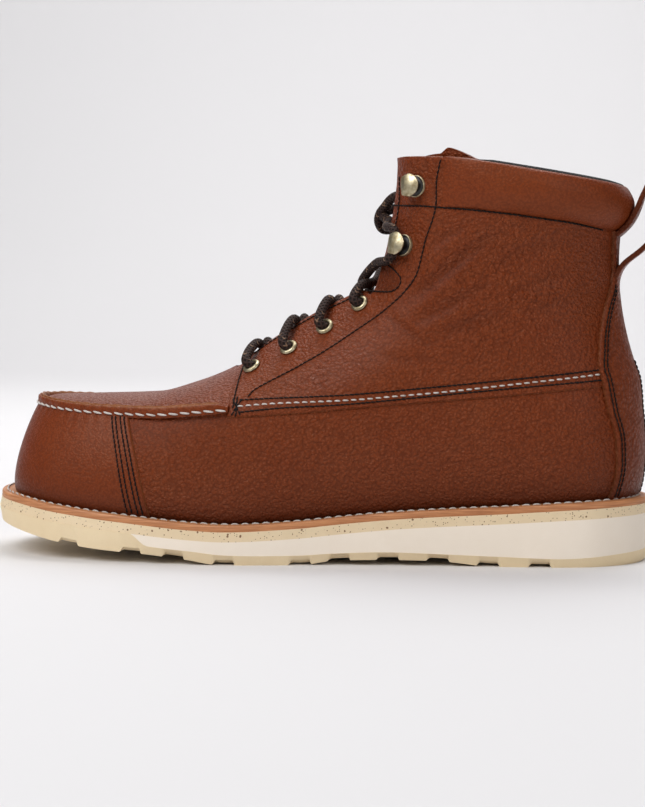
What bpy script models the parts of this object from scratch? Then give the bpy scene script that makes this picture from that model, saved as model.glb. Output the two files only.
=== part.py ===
"""Left work boot with a moccasin toe and a wedge sole, toe at -X, outer side at -Y, standing on z = 0.

All sizes below are in millimetres. The boot is worked out straight about y = 0, swung to the curve of
the left last, and turned into metres as its meshes are made.
"""

import math
from collections import namedtuple

import bmesh
import bpy
import numpy as np
from mathutils import Matrix, Vector

MM = 0.001
SEAT = 0.3  # gap between pieces that meet
EASE = 0.15  # added to it between curved pieces
WALL = 2.4  # leather and lining of the upper
MERGE = 0.002  # points nearer than this are one

# Sole
SOLE_LENGTH = 312.0
SOLE_STATIONS = 25
WELT_THICK = 3.0
WELT_INSET = 0.6
WELT_LEDGE = 1.0  # welt that reaches in under the upper
MIDSOLE_THICK = 3.2
MIDSOLE_INSET = 0.3
INSOLE_RISE = 1.6
WEDGE_TIP_X = -75.6
WEDGE_INSET = 0.2
WEDGE_LEAST = 0.2  # thickness at its tip
TREAD_INSET = 2.0
GROOVE_DEPTH = 2.6
GROOVE_WIDTH = 8.5
GROOVE_FLARE = 1.4
GROOVE_SWEEP = 9.0
GROOVE_REACH = 70.0
GROOVE_CENTRES = (-107.0, -76.0, -56.0, -33.0, 1.0, 18.5, 40.5, 63.0, 85.5, 108.5)

# Sole outline, half width each side of the swung axis
Plan = namedtuple("Plan", "x half_width swing")
PLAN = (
    Plan(-156.0, 0.0, 5.0),
    Plan(-144.0, 36.5, 3.4),
    Plan(-131.0, 46.5, 1.8),
    Plan(-111.0, 53.0, 0.0),
    Plan(-75.0, 57.0, -2.2),
    Plan(-36.0, 54.5, -3.6),
    Plan(24.0, 44.5, -3.2),
    Plan(84.0, 41.0, -0.8),
    Plan(109.0, 40.0, 0.0),
    Plan(129.0, 36.0, 0.0),
    Plan(144.0, 26.5, 0.0),
    Plan(156.0, 0.0, 0.0),
)

# Side of the sole: underside, top of the welt, and depth of the wedge under the midsole
Side = namedtuple("Side", "x ground welt_top wedge_depth")
SIDE = (
    Side(-156.0, 16.0, 29.3, 0.0),
    Side(-138.0, 13.0, 28.2, 0.0),
    Side(-116.0, 8.8, 25.3, 0.0),
    Side(-96.0, 6.2, 23.1, 0.0),
    Side(-77.0, 4.9, 21.4, 0.0),
    Side(-68.0, 4.3, 20.5, 5.0),
    Side(-50.0, 2.2, 18.9, 5.2),
    Side(-34.0, 0.0, 18.1, 6.1),
    Side(0.0, 0.0, 19.7, 7.9),
    Side(16.0, 2.0, 21.4, 8.7),
    Side(40.0, 2.6, 23.8, 10.3),
    Side(60.0, 2.4, 25.2, 12.2),
    Side(90.0, 0.0, 26.8, 14.8),
    Side(125.0, 0.0, 29.0, 17.6),
    Side(150.0, 0.0, 29.8, 16.8),
    Side(156.0, 0.5, 29.8, 16.4),
)

# Width of welt that shows outside the upper, by share of the way from toe to heel
Margin = namedtuple("Margin", "share width")
MARGIN = (Margin(0.0, 12.4), Margin(0.15, 8.8), Margin(0.4, 7.0), Margin(0.7, 6.6), Margin(1.0, 7.4))

# Shoulder seam of the upper: moccasin seam round the toe, then the strip along the quarter
Seam = namedtuple("Seam", "x half_width z")
SEAM = (
    Seam(-135.0, 0.0, 70.4),
    Seam(-128.0, 18.5, 69.6),
    Seam(-115.5, 30.0, 68.5),
    Seam(-94.0, 38.5, 67.4),
    Seam(-70.0, 43.0, 67.1),
    Seam(-40.0, 45.2, 69.3),
    Seam(0.0, 44.3, 72.3),
    Seam(45.0, 40.5, 76.5),
    Seam(90.0, 36.8, 80.2),
    Seam(118.0, 31.5, 83.0),
    Seam(135.5, 22.5, 84.7),
    Seam(144.3, 11.5, 85.6),
    Seam(147.6, 0.0, 86.0),
)
WALL_BULGE = 11.0  # how full the side wall is below the seam

# Top line of the upper: crest of vamp and instep, then the collar rim from front to back.
# An arched rib has crown 1 and a rounder top for a larger peak, a wall has crown 0.
Top = namedtuple("Top", "share x half_width z crown peak bow")
TOP = (
    Top(0.00, -134.6, 0.0, 71.8, 1.0, 2.0, 0.0),
    Top(0.10, -128.0, 0.0, 73.6, 1.0, 2.0, 0.0),
    Top(0.20, -107.9, 0.0, 74.3, 1.0, 2.0, 0.0),
    Top(0.30, -76.8, 0.0, 74.2, 1.0, 2.0, 0.0),
    Top(0.35, -57.6, 0.0, 80.8, 1.0, 1.8, 0.0),
    Top(0.40, -37.2, 0.0, 89.0, 1.0, 1.4, 0.0),
    Top(0.45, -15.6, 0.0, 107.6, 1.0, 1.25, 0.0),
    Top(0.50, 6.4, 0.0, 123.4, 1.0, 1.25, 0.0),
    Top(0.55, 28.2, 0.0, 136.6, 1.0, 1.35, 0.0),
    Top(0.58, 34.2, 0.0, 148.0, 1.0, 1.45, 0.0),
    Top(0.61, 36.6, 0.0, 167.0, 1.0, 1.5, 0.0),
    Top(0.64, 38.0, 0.0, 184.5, 1.0, 1.6, 0.0),
    Top(0.66, 41.0, 14.5, 184.8, 0.7, 1.7, 0.0),
    Top(0.70, 51.0, 25.5, 184.8, 0.35, 2.0, 0.0),
    Top(0.75, 65.5, 33.0, 184.2, 0.1, 2.0, -1.0),
    Top(0.80, 84.0, 36.5, 181.8, 0.0, 2.0, -2.5),
    Top(0.86, 107.0, 35.0, 178.0, 0.0, 2.0, -4.5),
    Top(0.92, 127.8, 26.0, 174.6, 0.0, 2.0, -5.8),
    Top(0.96, 138.6, 14.5, 172.8, 0.0, 2.0, -6.4),
    Top(1.00, 142.8, 0.0, 172.0, 0.0, 2.0, -6.7),
)

# Throat between the eyestays: half width, and how far the tongue lies below the arch there
Throat = namedtuple("Throat", "share half_gap sink")
THROAT = (
    Throat(0.40, 9.5, 0.0),
    Throat(0.46, 11.5, 4.6),
    Throat(0.535, 12.0, 6.0),
    Throat(0.556, 18.5, 6.0),
    Throat(0.577, 12.5, 5.0),
    Throat(0.64, 13.5, 0.0),
)
THROAT_SHARE = 0.40
COLLAR_SHARE = 0.645
# Rear edge of the toe panel, slanting back towards the welt
Cap = namedtuple("Cap", "row share")
TOE_CAP = (Cap(0.0, 0.357), Cap(0.6, 0.320), Cap(1.0, 0.290))
CAP_FADE_SHARE = 0.6  # where the net no longer follows the slant
STEP = 1.2  # lap of quarter over vamp, and of toe panel over side panel
STEP_RUN = 0.0035

# Net of the upper
COLUMNS = 32
COLUMN_CLEAR = 0.012
LOW_ROWS = (0.0, 0.17, 0.4, 0.7, 1.0)
HIGH_ROWS = (1.015, 1.12, 1.25, 1.375, 1.5, 1.625, 1.75, 1.875, 2.0)

# Raised lip of the moccasin seam: outward and upward from the seam line
Lip = namedtuple("Lip", "out up")
LIP = (
    Lip(1.3, -1.3),
    Lip(2.5, -0.8),
    Lip(1.8, 3.3),
    Lip(0.5, 3.9),
    Lip(-0.8, 3.3),
    Lip(-0.6, 2.2),
    Lip(0.5, 0.8),
)
LIP_SHARE = 0.392
LIP_EASE = 1.8  # how far the lip moves out where the vamp grows steep
LIP_EASE_FROM = 0.28
LIP_EASE_RUN = 0.08

# Cuff, backstay and pull loop
CUFF_ROW = 1.75
CUFF_SHARE = 24.0 / 32.0
CUFF_ROWS = 7
CUFF_EDGE = 0.9
CUFF_PAD = 4.0
CUFF_FADE = 0.06  # share over which the padding grows from the front ends
BACKSTAY_THICK = 1.6
Back = namedtuple("Back", "row half_share")
BACKSTAY = (
    Back(0.0, 0.138),
    Back(0.3, 0.125),
    Back(0.47, 0.125),
    Back(0.75, 0.1375),
    Back(1.0, 0.143),
    Back(1.14, 0.119),
    Back(1.34, 0.076),
    Back(1.5, 0.043),
)
BACKSTAY_COLUMNS = 11
LOOP_WIDTH = 19.0
LOOP_THICK = 2.4
LOOP_STATIONS = 24
Bend = namedtuple("Bend", "x z")
LOOP_PATH = (
    Bend(141.1, 132.2),
    Bend(141.4, 136.0),
    Bend(143.8, 139.9),
    Bend(148.4, 143.3),
    Bend(153.8, 147.3),
    Bend(159.6, 153.4),
    Bend(163.8, 161.3),
    Bend(165.6, 169.5),
    Bend(164.0, 176.2),
    Bend(159.8, 178.6),
    Bend(155.8, 175.0),
    Bend(153.2, 168.5),
    Bend(150.7, 162.5),
    Bend(148.4, 157.2),
    Bend(145.4, 151.8),
    Bend(141.3, 146.9),
)

# Tongue
TONGUE_GAP = 1.6
TONGUE_THICK = 3.2
TONGUE_RISE = 2.0
TONGUE_EAR = 3.6  # how much higher the tongue's corners stand
TONGUE_EAR_FROM = 55.0
TONGUE_EAR_RUN = 9.0
TONGUE_RISE_FROM = 168.0
RIM_FRONT = 184.5
Flap = namedtuple("Flap", "share low_row")
TONGUE = (
    Flap(0.375, 1.52),
    Flap(0.45, 1.50),
    Flap(0.52, 1.47),
    Flap(0.58, 1.46),
    Flap(0.64, 1.55),
    Flap(0.70, 1.72),
    Flap(0.75, 1.88),
)
TONGUE_COLUMNS = 14
TONGUE_ROWS = 5

# Eyelets and hooks along each eyestay
Stay = namedtuple("Stay", "share row")
EYELETS = (Stay(0.4292, 1.512), Stay(0.4684, 1.5145), Stay(0.5052, 1.549), Stay(0.54, 1.595))
HOOKS = (Stay(0.63, 1.514), Stay(0.683, 1.798))
HOOK_LIFTS = (1.1, 0.0)  # the flat base of the lower one bridges the hollow of the bend
EYELET_CUT = 3.3  # radius of the hole in the leather
EYELET_CUT_DEPTH = 14.0
EYELET_SIDES = 10
Ring = namedtuple("Ring", "radius height")
EYELET = (
    Ring(2.5, 1.2),
    Ring(3.1, 1.6),
    Ring(3.9, 1.3),
    Ring(4.2, 0.7),
    Ring(3.0, 0.7),
    Ring(3.0, -WALL),
    Ring(2.5, -WALL),
)
HOOK_BASE = 4.4
HOOK_PLATE = 0.9
HOOK_SIDES = 10
HOOK_STATIONS = 10
Crook = namedtuple("Crook", "towards out half_width")
CROOK = (
    Crook(0.8, 0.8, 3.0),
    Crook(3.4, 0.9, 3.4),
    Crook(4.9, 2.0, 4.0),
    Crook(5.2, 3.6, 4.6),
    Crook(4.4, 5.2, 4.9),
    Crook(2.6, 6.0, 4.8),
    Crook(0.6, 5.9, 4.2),
    Crook(-0.8, 5.4, 3.2),
)

# Laces
LACE_RADIUS = 2.2
LACE_SIDES = 1
LACE_CLEAR = 1.2  # between a lace and the throat edge it goes under
LEAVES = 0.2  # where a strand comes over the edge, from one row of eyelets to the next
ENTERS = 0.75  # and where it goes under the other edge
CROSS_RISE = -1.0
CROOK_OUT = 3.4
CROOK_TOWARDS = 2.0
HOOK_CLEAR = 10.9
BRIDGE_RISE = 0.4
KNOT_RISE = 2.0
# Stops over the arch beside and above the lower hooks
Stop = namedtuple("Stop", "share half_width")
BRIDGE_TOP = Stop(0.566, 0.0)
BRIDGE_EDGE = Stop(0.585, 12.8)
BRIDGE_STAY = Stop(0.602, 19.0)
KNOT_STAY = Stop(0.618, 19.0)
KNOT_EDGE = Stop(0.607, 13.0)
KNOT_TOP = Stop(0.604, 0.0)
KNOT_TURN = Stop(0.612, 7.5)
KNOT_END = Stop(0.622, 9.5)
KNOT_TURN_RISE = 1.6
SIDES = ((-1, "outer"), (1, "inner"))


def smooth(places, values):
    """A function through the values at the given places that never overshoots them."""
    places = np.asarray(places, float)
    values = np.asarray(values, float)
    steps = np.diff(places)
    slopes = np.diff(values) / steps
    tangents = np.zeros(len(places))
    tangents[0] = slopes[0]
    tangents[-1] = slopes[-1]
    for k in range(1, len(places) - 1):
        if slopes[k - 1] * slopes[k] > 0.0:
            before = 2.0 * steps[k] + steps[k - 1]
            after = steps[k] + 2.0 * steps[k - 1]
            tangents[k] = (before + after) / (before / slopes[k - 1] + after / slopes[k])

    def at(place):
        k = int(np.clip(np.searchsorted(places, place) - 1, 0, len(steps) - 1))
        f = min(max((place - places[k]) / steps[k], 0.0), 1.0)
        rise = f * f * (3.0 - 2.0 * f)
        start = f * (1.0 - f) ** 2 * steps[k] * tangents[k]
        end = f * f * (f - 1.0) * steps[k] * tangents[k + 1]
        return values[k] + (values[k + 1] - values[k]) * rise + start + end

    return at


def column(table, place, value):
    """A smooth function of one named column over another."""
    return smooth([getattr(row, place) for row in table], [getattr(row, value) for row in table])


def share_of(x, first, last):
    """Share of the way from toe to heel, even by angle so that both ends are round."""
    return math.acos(min(max(1.0 - 2.0 * (x - first) / (last - first), -1.0), 1.0)) / math.pi


def place_of(share, first, last):
    """The x at a share of the way from toe to heel."""
    return first + (last - first) * (1.0 - math.cos(math.pi * share)) / 2.0


def outline(table, value):
    """A smooth function of share for one column of a table that runs from toe to heel."""
    first, last = table[0].x, table[-1].x
    return smooth([share_of(row.x, first, last) for row in table], [getattr(row, value) for row in table])


plan_width = outline(PLAN, "half_width")
swing = column(PLAN, "x", "swing")
ground = column(SIDE, "x", "ground")
welt_top = column(SIDE, "x", "welt_top")
wedge_depth = column(SIDE, "x", "wedge_depth")
margin = column(MARGIN, "share", "width")
seam_width = outline(SEAM, "half_width")
seam_height = outline(SEAM, "z")
top_x = column(TOP, "share", "x")
top_width = column(TOP, "share", "half_width")
top_height = column(TOP, "share", "z")
top_crown = column(TOP, "share", "crown")
top_peak = column(TOP, "share", "peak")
top_bow = column(TOP, "share", "bow")
throat_gap = column(THROAT, "share", "half_gap")
throat_sink = column(THROAT, "share", "sink")
toe_cap_share = column(TOE_CAP, "row", "share")
backstay_share = column(BACKSTAY, "row", "half_share")
tongue_row = column(TONGUE, "share", "low_row")


def point(x, y, z):
    """A point of the straight boot, swung to the left last, in metres."""
    return Vector((x, y + swing(x), z)) * MM


def share_at(turn):
    """Share of the way from toe to heel at a turn, on either side."""
    turn = turn % 2.0
    return turn if turn <= 1.0 else 2.0 - turn


def all_round(shares):
    """Turns once round the boot, from the toe along the outer side and back along the inner one."""
    return list(shares) + [2.0 - share for share in reversed(shares[:-1])]


def plan(share, inset):
    """The sole's outline, drawn in by an inset: x and half width."""
    half = SOLE_LENGTH / 2.0
    step = 0.001
    x, width = place_of(share, -half, half), plan_width(share)
    ahead, behind = min(share + step, 1.0), max(share - step, 0.0)
    along = place_of(ahead, -half, half) - place_of(behind, -half, half)
    across = plan_width(ahead) - plan_width(behind)
    if share <= 0.0 or share >= 1.0:
        along = 0.0
    length = math.hypot(along, across)
    return x + inset * across / length, max(width - inset * along / length, 0.0)


def seam_point(share):
    """The shoulder seam: x, half width and height."""
    return place_of(share, SEAM[0].x, SEAM[-1].x), seam_width(share), seam_height(share)


def feather_point(share):
    """The line where the upper meets the welt: x, half width and height."""
    x, width = plan(share, margin(share))
    return x, width, welt_top(x) + SEAT


def side_wall(share, rise):
    """The upper between feather line and seam, full near the welt."""
    low, high = np.array(feather_point(share)), np.array(seam_point(share))
    chord = low + (high - low) * rise
    ahead, behind = plan(min(share + 0.002, 1.0), 8.0), plan(max(share - 0.002, 0.0), 8.0)
    along, across = ahead[0] - behind[0], ahead[1] - behind[1]
    if share <= 0.0 or share >= 1.0:
        along = 0.0
    length = math.hypot(along, across)
    fullness = WALL_BULGE * rise**0.6 * max(1.0 - rise, 0.0) ** 0.85
    chord[0] -= fullness * across / length
    chord[1] += fullness * along / length
    chord[1] = max(chord[1], 0.0)
    return chord


def rib(share, rise):
    """The upper between seam and top line: an arch over the foot, a wall round the ankle."""
    x, width, z = seam_point(share)
    crown, peak = top_crown(share), top_peak(share)
    t = (1.0 - crown) * rise + crown * math.sin(0.5 * math.pi * rise) ** (2.0 / peak)
    swell = max(1.0 - t ** (2.0 + crown * (peak - 2.0)), 0.0) ** (1.0 / (1.0 + crown * (peak - 1.0)))
    across = top_width(share) + (width - top_width(share)) * swell
    lean = x + (top_x(share) - x) * t + top_bow(share) * 4.0 * t * (1.0 - t)
    return np.array((lean, across, z + (top_height(share) - z) * t))


def rib_rise(share, half_width):
    """How far up an arched rib its half width has come down to the one given."""
    width = seam_point(share)[1]
    return 2.0 / math.pi * math.acos(min(half_width / width, 1.0) ** (0.5 * top_peak(share)))


def surface(turn, row):
    """Outer face of the upper: turn 0 is the toe, 1 the heel, 2 the toe again; row 0 is the welt, 1 the seam."""
    side = -1.0 if turn % 2.0 <= 1.0 else 1.0
    share = share_at(turn)
    x, width, z = side_wall(share, row) if row <= 1.0 else rib(share, min(row - 1.0, 1.0))
    return np.array((x, side * width, z))


def normal(turn, row):
    """Outward direction of the upper."""
    level = min(row, 1.98)
    across = surface(turn + 0.004, level) - surface(turn - 0.004, level)
    up = surface(turn, min(row + 0.01, 2.0)) - surface(turn, max(row - 0.01, 0.0))
    out = np.cross(across, up)
    if abs(surface(turn, row)[1]) < 0.01:
        out[1] = 0.0
    return out / np.linalg.norm(out)


def step_height(turn, row):
    """The laps of the upper: quarter over vamp above the seam, toe panel over side panel below it."""
    share = share_at(turn)
    if row > 1.0:
        return STEP if share > THROAT_SHARE else 0.0
    return STEP if share < toe_cap_share(row) and 0.0 < row < 1.0 else 0.0


def slanted(turn, row):
    """A turn moved back below the seam, so that one column follows the edge of the toe panel."""
    share, cap = share_at(turn), TOE_CAP[-1].share
    if row >= 1.0 or share >= CAP_FADE_SHARE:
        return turn
    fade = share / cap if share < cap else (CAP_FADE_SHARE - share) / (CAP_FADE_SHARE - cap)
    return turn + math.copysign(fade * (toe_cap_share(row) - cap), 1.0 - turn)


def sink(share, half_width):
    """How far the tongue lies below the upper's own arch in the throat."""
    if not THROAT[0].share <= share <= THROAT[-1].share:
        return 0.0
    return throat_sink(share) * max(1.0 - (half_width / throat_gap(share)) ** 2, 0.0)


def face(turn, row, offset=0.0):
    """A point off the upper's outer face, laps included."""
    return surface(turn, row) + (step_height(turn, row) + offset) * normal(turn, row)


def throat_row(share, row):
    """A row above the seam, drawn down so that the last one follows the edge of the throat."""
    if row <= 1.0 or share <= THROAT_SHARE or share >= COLLAR_SHARE:
        return row
    return 1.0 + (row - 1.0) * rib_rise(share, throat_gap(share))


def finish(name, colour, roughness, metallic=0.0):
    """A plain material."""
    material = bpy.data.materials.new(name)
    material.use_nodes = True
    shader = material.node_tree.nodes["Principled BSDF"]
    shader.inputs["Base Color"].default_value = (*colour, 1.0)
    shader.inputs["Roughness"].default_value = roughness
    shader.inputs["Metallic"].default_value = metallic
    return material


def add_object(name, mesh, material, collection, is_cutter=False):
    """A named object in its collection, hung on the boot's empty unless it is a cutter."""
    thing = bpy.data.objects.new(name, mesh)
    collection.objects.link(thing)
    if is_cutter:
        thing.hide_render = True
        thing.display_type = "WIRE"
        return thing
    mesh.materials.append(material)
    mesh.shade_smooth()
    mesh.set_sharp_from_angle(angle=math.radians(40.0))
    return thing


def shell(name, runs, rows, outer, inner):
    """A closed wall between two faces over one net of rows and one or more runs of columns."""
    net = bmesh.new()
    column_layer = net.verts.layers.float.new("column")
    row_layer = net.verts.layers.float.new("row")
    for columns in runs:
        made = bmesh.ops.create_grid(net, x_segments=len(columns) - 1, y_segments=len(rows) - 1, size=0.5)
        for k, vert in enumerate(made["verts"]):
            vert[column_layer] = columns[k % len(columns)]
            vert[row_layer] = rows[k // len(columns)]
            vert.co = point(*outer(vert[column_layer], vert[row_layer]))
    bmesh.ops.remove_doubles(net, verts=net.verts[:], dist=MERGE * MM)
    grown = bmesh.ops.extrude_face_region(net, geom=net.faces[:])
    for vert in grown["geom"]:
        if isinstance(vert, bmesh.types.BMVert):
            vert.co = point(*inner(vert[column_layer], vert[row_layer]))
    return closed_mesh(name, net)


def closed_mesh(name, net):
    """The mesh of a net, merged where its points meet and with its faces turned outwards."""
    bmesh.ops.remove_doubles(net, verts=net.verts[:], dist=MERGE * MM)
    bmesh.ops.recalc_face_normals(net, faces=net.faces[:])
    mesh = bpy.data.meshes.new(name)
    net.to_mesh(mesh)
    net.free()
    return mesh


def band(name, columns, corners, section):
    """A bar with a many-cornered section along a run of columns, its ends closed."""
    net = bmesh.new()
    made = bmesh.ops.create_grid(net, x_segments=len(columns) - 1, y_segments=corners, size=0.5)
    for k, vert in enumerate(made["verts"]):
        vert.co = point(*section(columns[k % len(columns)], k // len(columns) % corners))
    bmesh.ops.remove_doubles(net, verts=net.verts[:], dist=MERGE * MM)
    bmesh.ops.holes_fill(net, edges=[edge for edge in net.edges if edge.is_boundary])
    bmesh.ops.triangulate(net, faces=[cap for cap in net.faces if len(cap.verts) > 4])
    return closed_mesh(name, net)


def slab(name, shares, top, bottom, inset_top, inset_bottom):
    """A layer of the sole: the plan outline between two heights over x."""

    def level(share, side, inset, height):
        x, width = plan(share, inset)
        return x, side * width, height(x)

    return shell(
        name,
        (shares,),
        (-1.0, 1.0),
        lambda share, side: level(share, side, inset_top, top),
        lambda share, side: level(share, side, inset_bottom, bottom),
    )


def sole_shares(first=0.0):
    """Shares of the sole's stations: even ones, and one at each row of the side table."""
    half = SOLE_LENGTH / 2.0
    shares = {round(k / SOLE_STATIONS, 4) for k in range(SOLE_STATIONS + 1)}
    shares |= {round(share_of(row.x, -half, half), 4) for row in SIDE}
    kept = sorted(share for share in shares if share > first + 0.002)
    return [first] + [share for k, share in enumerate(kept) if k == len(kept) - 1 or kept[k + 1] - share > 0.004]


def midsole_bottom(x):
    """Underside of the midsole."""
    return welt_top(x) - WELT_THICK - SEAT - MIDSOLE_THICK


def tread_top(x):
    """Top of the tread layer."""
    return midsole_bottom(x) - SEAT - wedge_depth(x)


def make_outsole(collection, cutters, rubber):
    """Tread layer with chevron grooves across it."""
    mesh = slab("outsole", sole_shares(), tread_top, ground, 0.0, TREAD_INSET)
    outsole = add_object("outsole", mesh, rubber, collection)

    def groove_side(centre, half_width, height):
        def at(across, reach):
            x = centre - GROOVE_SWEEP * (1.0 - abs(reach)) + across * half_width
            return x, GROOVE_REACH * reach, ground(x) + height

        return at

    for k, centre in enumerate(GROOVE_CENTRES):
        name = f"groove_{k + 1}"
        roof = groove_side(centre, GROOVE_WIDTH / 2.0, GROOVE_DEPTH)
        mouth = groove_side(centre, GROOVE_WIDTH / 2.0 + 2.0 * GROOVE_FLARE, -GROOVE_DEPTH)
        mesh = shell(name, ((-1.0, 1.0),), (-1.0, 0.0, 1.0), roof, mouth)
        add_object(name, mesh, None, cutters, is_cutter=True)
    cut = outsole.modifiers.new("grooves", "BOOLEAN")
    cut.operand_type = "COLLECTION"
    cut.collection = cutters
    cut.operation = "DIFFERENCE"


def make_sole(collection, cutters, rubber, foam, speckled, welt_leather, sock):
    """Outsole, wedge, midsole, welt and insole."""
    half = SOLE_LENGTH / 2.0
    make_outsole(collection, cutters, rubber)
    tip = share_of(WEDGE_TIP_X, -half, half)
    mesh = slab(
        "wedge",
        sole_shares(tip),
        lambda x: midsole_bottom(x) - SEAT,
        lambda x: min(midsole_bottom(x) - wedge_depth(x), midsole_bottom(x) - SEAT - WEDGE_LEAST),
        WEDGE_INSET,
        WEDGE_INSET,
    )
    add_object("wedge", mesh, foam, collection)
    mesh = slab(
        "midsole",
        sole_shares(),
        lambda x: welt_top(x) - WELT_THICK - SEAT,
        midsole_bottom,
        MIDSOLE_INSET,
        MIDSOLE_INSET,
    )
    add_object("midsole", mesh, speckled, collection)

    def welt_corner(turn, corner):
        share = share_at(turn)
        x, width = plan(share, WELT_INSET if corner < 2 else margin(share) + WALL + WELT_LEDGE)
        height = welt_top(x) - (WELT_THICK if corner in (1, 2) else 0.0)
        return x, -width if turn <= 1.0 else width, height

    mesh = band("welt", all_round(sole_shares()), 4, welt_corner)
    add_object("welt", mesh, welt_leather, collection)

    def insole_level(share, side, lift):
        x, width = plan(share, margin(share) + WALL + WELT_LEDGE + SEAT)
        return x, side * width, welt_top(x) + lift

    mesh = shell(
        "insole",
        (sole_shares(),),
        (-1.0, 1.0),
        lambda share, side: insole_level(share, side, INSOLE_RISE),
        lambda share, side: insole_level(share, side, -WELT_THICK),
    )
    add_object("insole", mesh, sock, collection)


def upper_turns():
    """Columns of the upper's net once round, two where one panel laps another and one under each hook."""
    shares = {k / COLUMNS for k in range(COLUMNS + 1)}
    marks = [THROAT_SHARE, TOE_CAP[-1].share] + [stay.share for stay in HOOKS]
    shares = {share for share in shares if min(abs(share - mark) for mark in marks) > COLUMN_CLEAR}
    for lap in marks[:2]:
        shares |= {lap - STEP_RUN, lap + STEP_RUN}
    return all_round(sorted(shares | set(marks[2:]) | {row.share for row in THROAT[1:-1]}))


def make_upper(collection, cutters, leather):
    """The hollow upper, with its eyelet holes cut."""

    def outside(turn, row):
        return face(slanted(turn, row), throat_row(share_at(turn), row))

    def inside(turn, row):
        height = throat_row(share_at(turn), row)
        column = slanted(turn, row)
        return surface(column, height) - WALL * normal(column, height)

    mesh = shell("upper", (upper_turns(),), LOW_ROWS + HIGH_ROWS, outside, inside)
    upper = add_object("upper", mesh, leather, collection)
    for k, stay in enumerate(EYELETS):
        for side, word in SIDES:
            bpy.ops.mesh.primitive_cylinder_add(vertices=EYELET_SIDES, radius=EYELET_CUT * MM, depth=EYELET_CUT_DEPTH * MM)
            cutter = bpy.context.object
            cutter.name = f"hole_{word}_{k + 1}"
            cutter.matrix_world = stay_frame(stay, side, 0.0)
            cutter.hide_render = True
            cutter.display_type = "WIRE"
            bpy.context.collection.objects.unlink(cutter)
            cutters.objects.link(cutter)
    cut = upper.modifiers.new("eyelet holes", "BOOLEAN")
    cut.operand_type = "COLLECTION"
    cut.collection = cutters
    cut.operation = "DIFFERENCE"


def stay_point(stay, side, offset):
    """A point over an eyestay fastening, off the leather by the offset."""
    turn = stay.share if side < 0 else 2.0 - stay.share
    return face(turn, stay.row, offset), normal(turn, stay.row)


def stay_frame(stay, side, offset):
    """Axes of an eyestay fastening: X level towards the throat, Z out of the leather."""
    place, out = stay_point(stay, side, offset)
    towards = np.array((-out[1], out[0], 0.0))
    towards *= math.copysign(1.0, -side * out[0]) / np.linalg.norm(towards)
    along = np.cross(out, towards)
    axes = Matrix((towards, along, out)).transposed().to_4x4()
    return Matrix.Translation(point(*place)) @ axes


def make_lip(collection, leather):
    """Raised lip of the moccasin seam, from throat to throat round the toe."""
    shares = [share for share in upper_turns() if share <= LIP_SHARE]
    turns = [-share for share in reversed(shares)] + shares[1:]

    def section(turn, corner):
        share = abs(turn)
        x, width, z = seam_point(share)
        ahead, behind = seam_point(min(share + 0.002, 1.0)), seam_point(max(share - 0.002, 0.0))
        along = 0.0 if share == 0.0 else ahead[0] - behind[0]
        across = ahead[1] - behind[1]
        length = math.hypot(along, across)
        lip = LIP[corner]
        out = lip.out + LIP_EASE * min(max((share - LIP_EASE_FROM) / LIP_EASE_RUN, 0.0), 1.0)
        x -= out * across / length
        width += out * along / length
        return x, math.copysign(width, -turn) if turn else 0.0, z + lip.up

    add_object("moc_seam", band("moc_seam", turns, len(LIP), section), leather, collection)


def make_cuff(collection, leather):
    """Padded collar band round the outside of the shaft."""
    last = 2.0 - CUFF_SHARE
    turns = [CUFF_SHARE] + [turn for turn in upper_turns() if CUFF_SHARE + 0.005 < turn < last - 0.005] + [last]
    rows = np.linspace(CUFF_ROW, 2.0, CUFF_ROWS)

    def pad(turn, row):
        band = (row - CUFF_ROW) / (2.0 - CUFF_ROW)
        fade = min(1.0, (min(turn, 2.0 - turn) - CUFF_SHARE) / CUFF_FADE)
        return SEAT + EASE + CUFF_EDGE + CUFF_PAD * fade * (1.0 - abs(2.0 * band - 1.0) ** 3)

    mesh = shell(
        "cuff",
        (turns,),
        rows,
        lambda turn, row: face(turn, row, pad(turn, row)),
        lambda turn, row: face(turn, row, SEAT + EASE),
    )
    add_object("cuff", mesh, leather, collection)


def make_backstay(collection, leather):
    """Heel panel over the back of the upper, cut from its own face."""
    rows = [row for row in LOW_ROWS + HIGH_ROWS if row <= BACKSTAY[-1].row]
    rows[0] = 0.02

    def at(across, row, offset):
        return face(1.0 + across * backstay_share(row), row, offset)

    mesh = shell(
        "backstay",
        (np.linspace(-1.0, 1.0, BACKSTAY_COLUMNS),),
        rows,
        lambda across, row: at(across, row, SEAT + EASE + BACKSTAY_THICK),
        lambda across, row: at(across, row, SEAT + EASE),
    )
    add_object("backstay", mesh, leather, collection)


def make_pull_loop(collection, leather):
    """Strap loop at the back, both ends at the heel panel."""
    count = len(LOOP_PATH)
    path_x = smooth(range(count), [bend.x for bend in LOOP_PATH])
    path_z = smooth(range(count), [bend.z for bend in LOOP_PATH])

    def at(place, across, offset):
        along_x = path_x(min(place + 0.05, count - 1)) - path_x(max(place - 0.05, 0))
        along_z = path_z(min(place + 0.05, count - 1)) - path_z(max(place - 0.05, 0))
        length = math.hypot(along_x, along_z)
        x = path_x(place) + offset * along_z / length
        return x, across * LOOP_WIDTH / 2.0, path_z(place) - offset * along_x / length

    mesh = shell(
        "pull_loop",
        (np.linspace(0.0, count - 1.0, LOOP_STATIONS),),
        (-1.0, 1.0),
        lambda place, across: at(place, across, LOOP_THICK / 2.0),
        lambda place, across: at(place, across, -LOOP_THICK / 2.0),
    )
    add_object("pull_loop", mesh, leather, collection)


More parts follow.
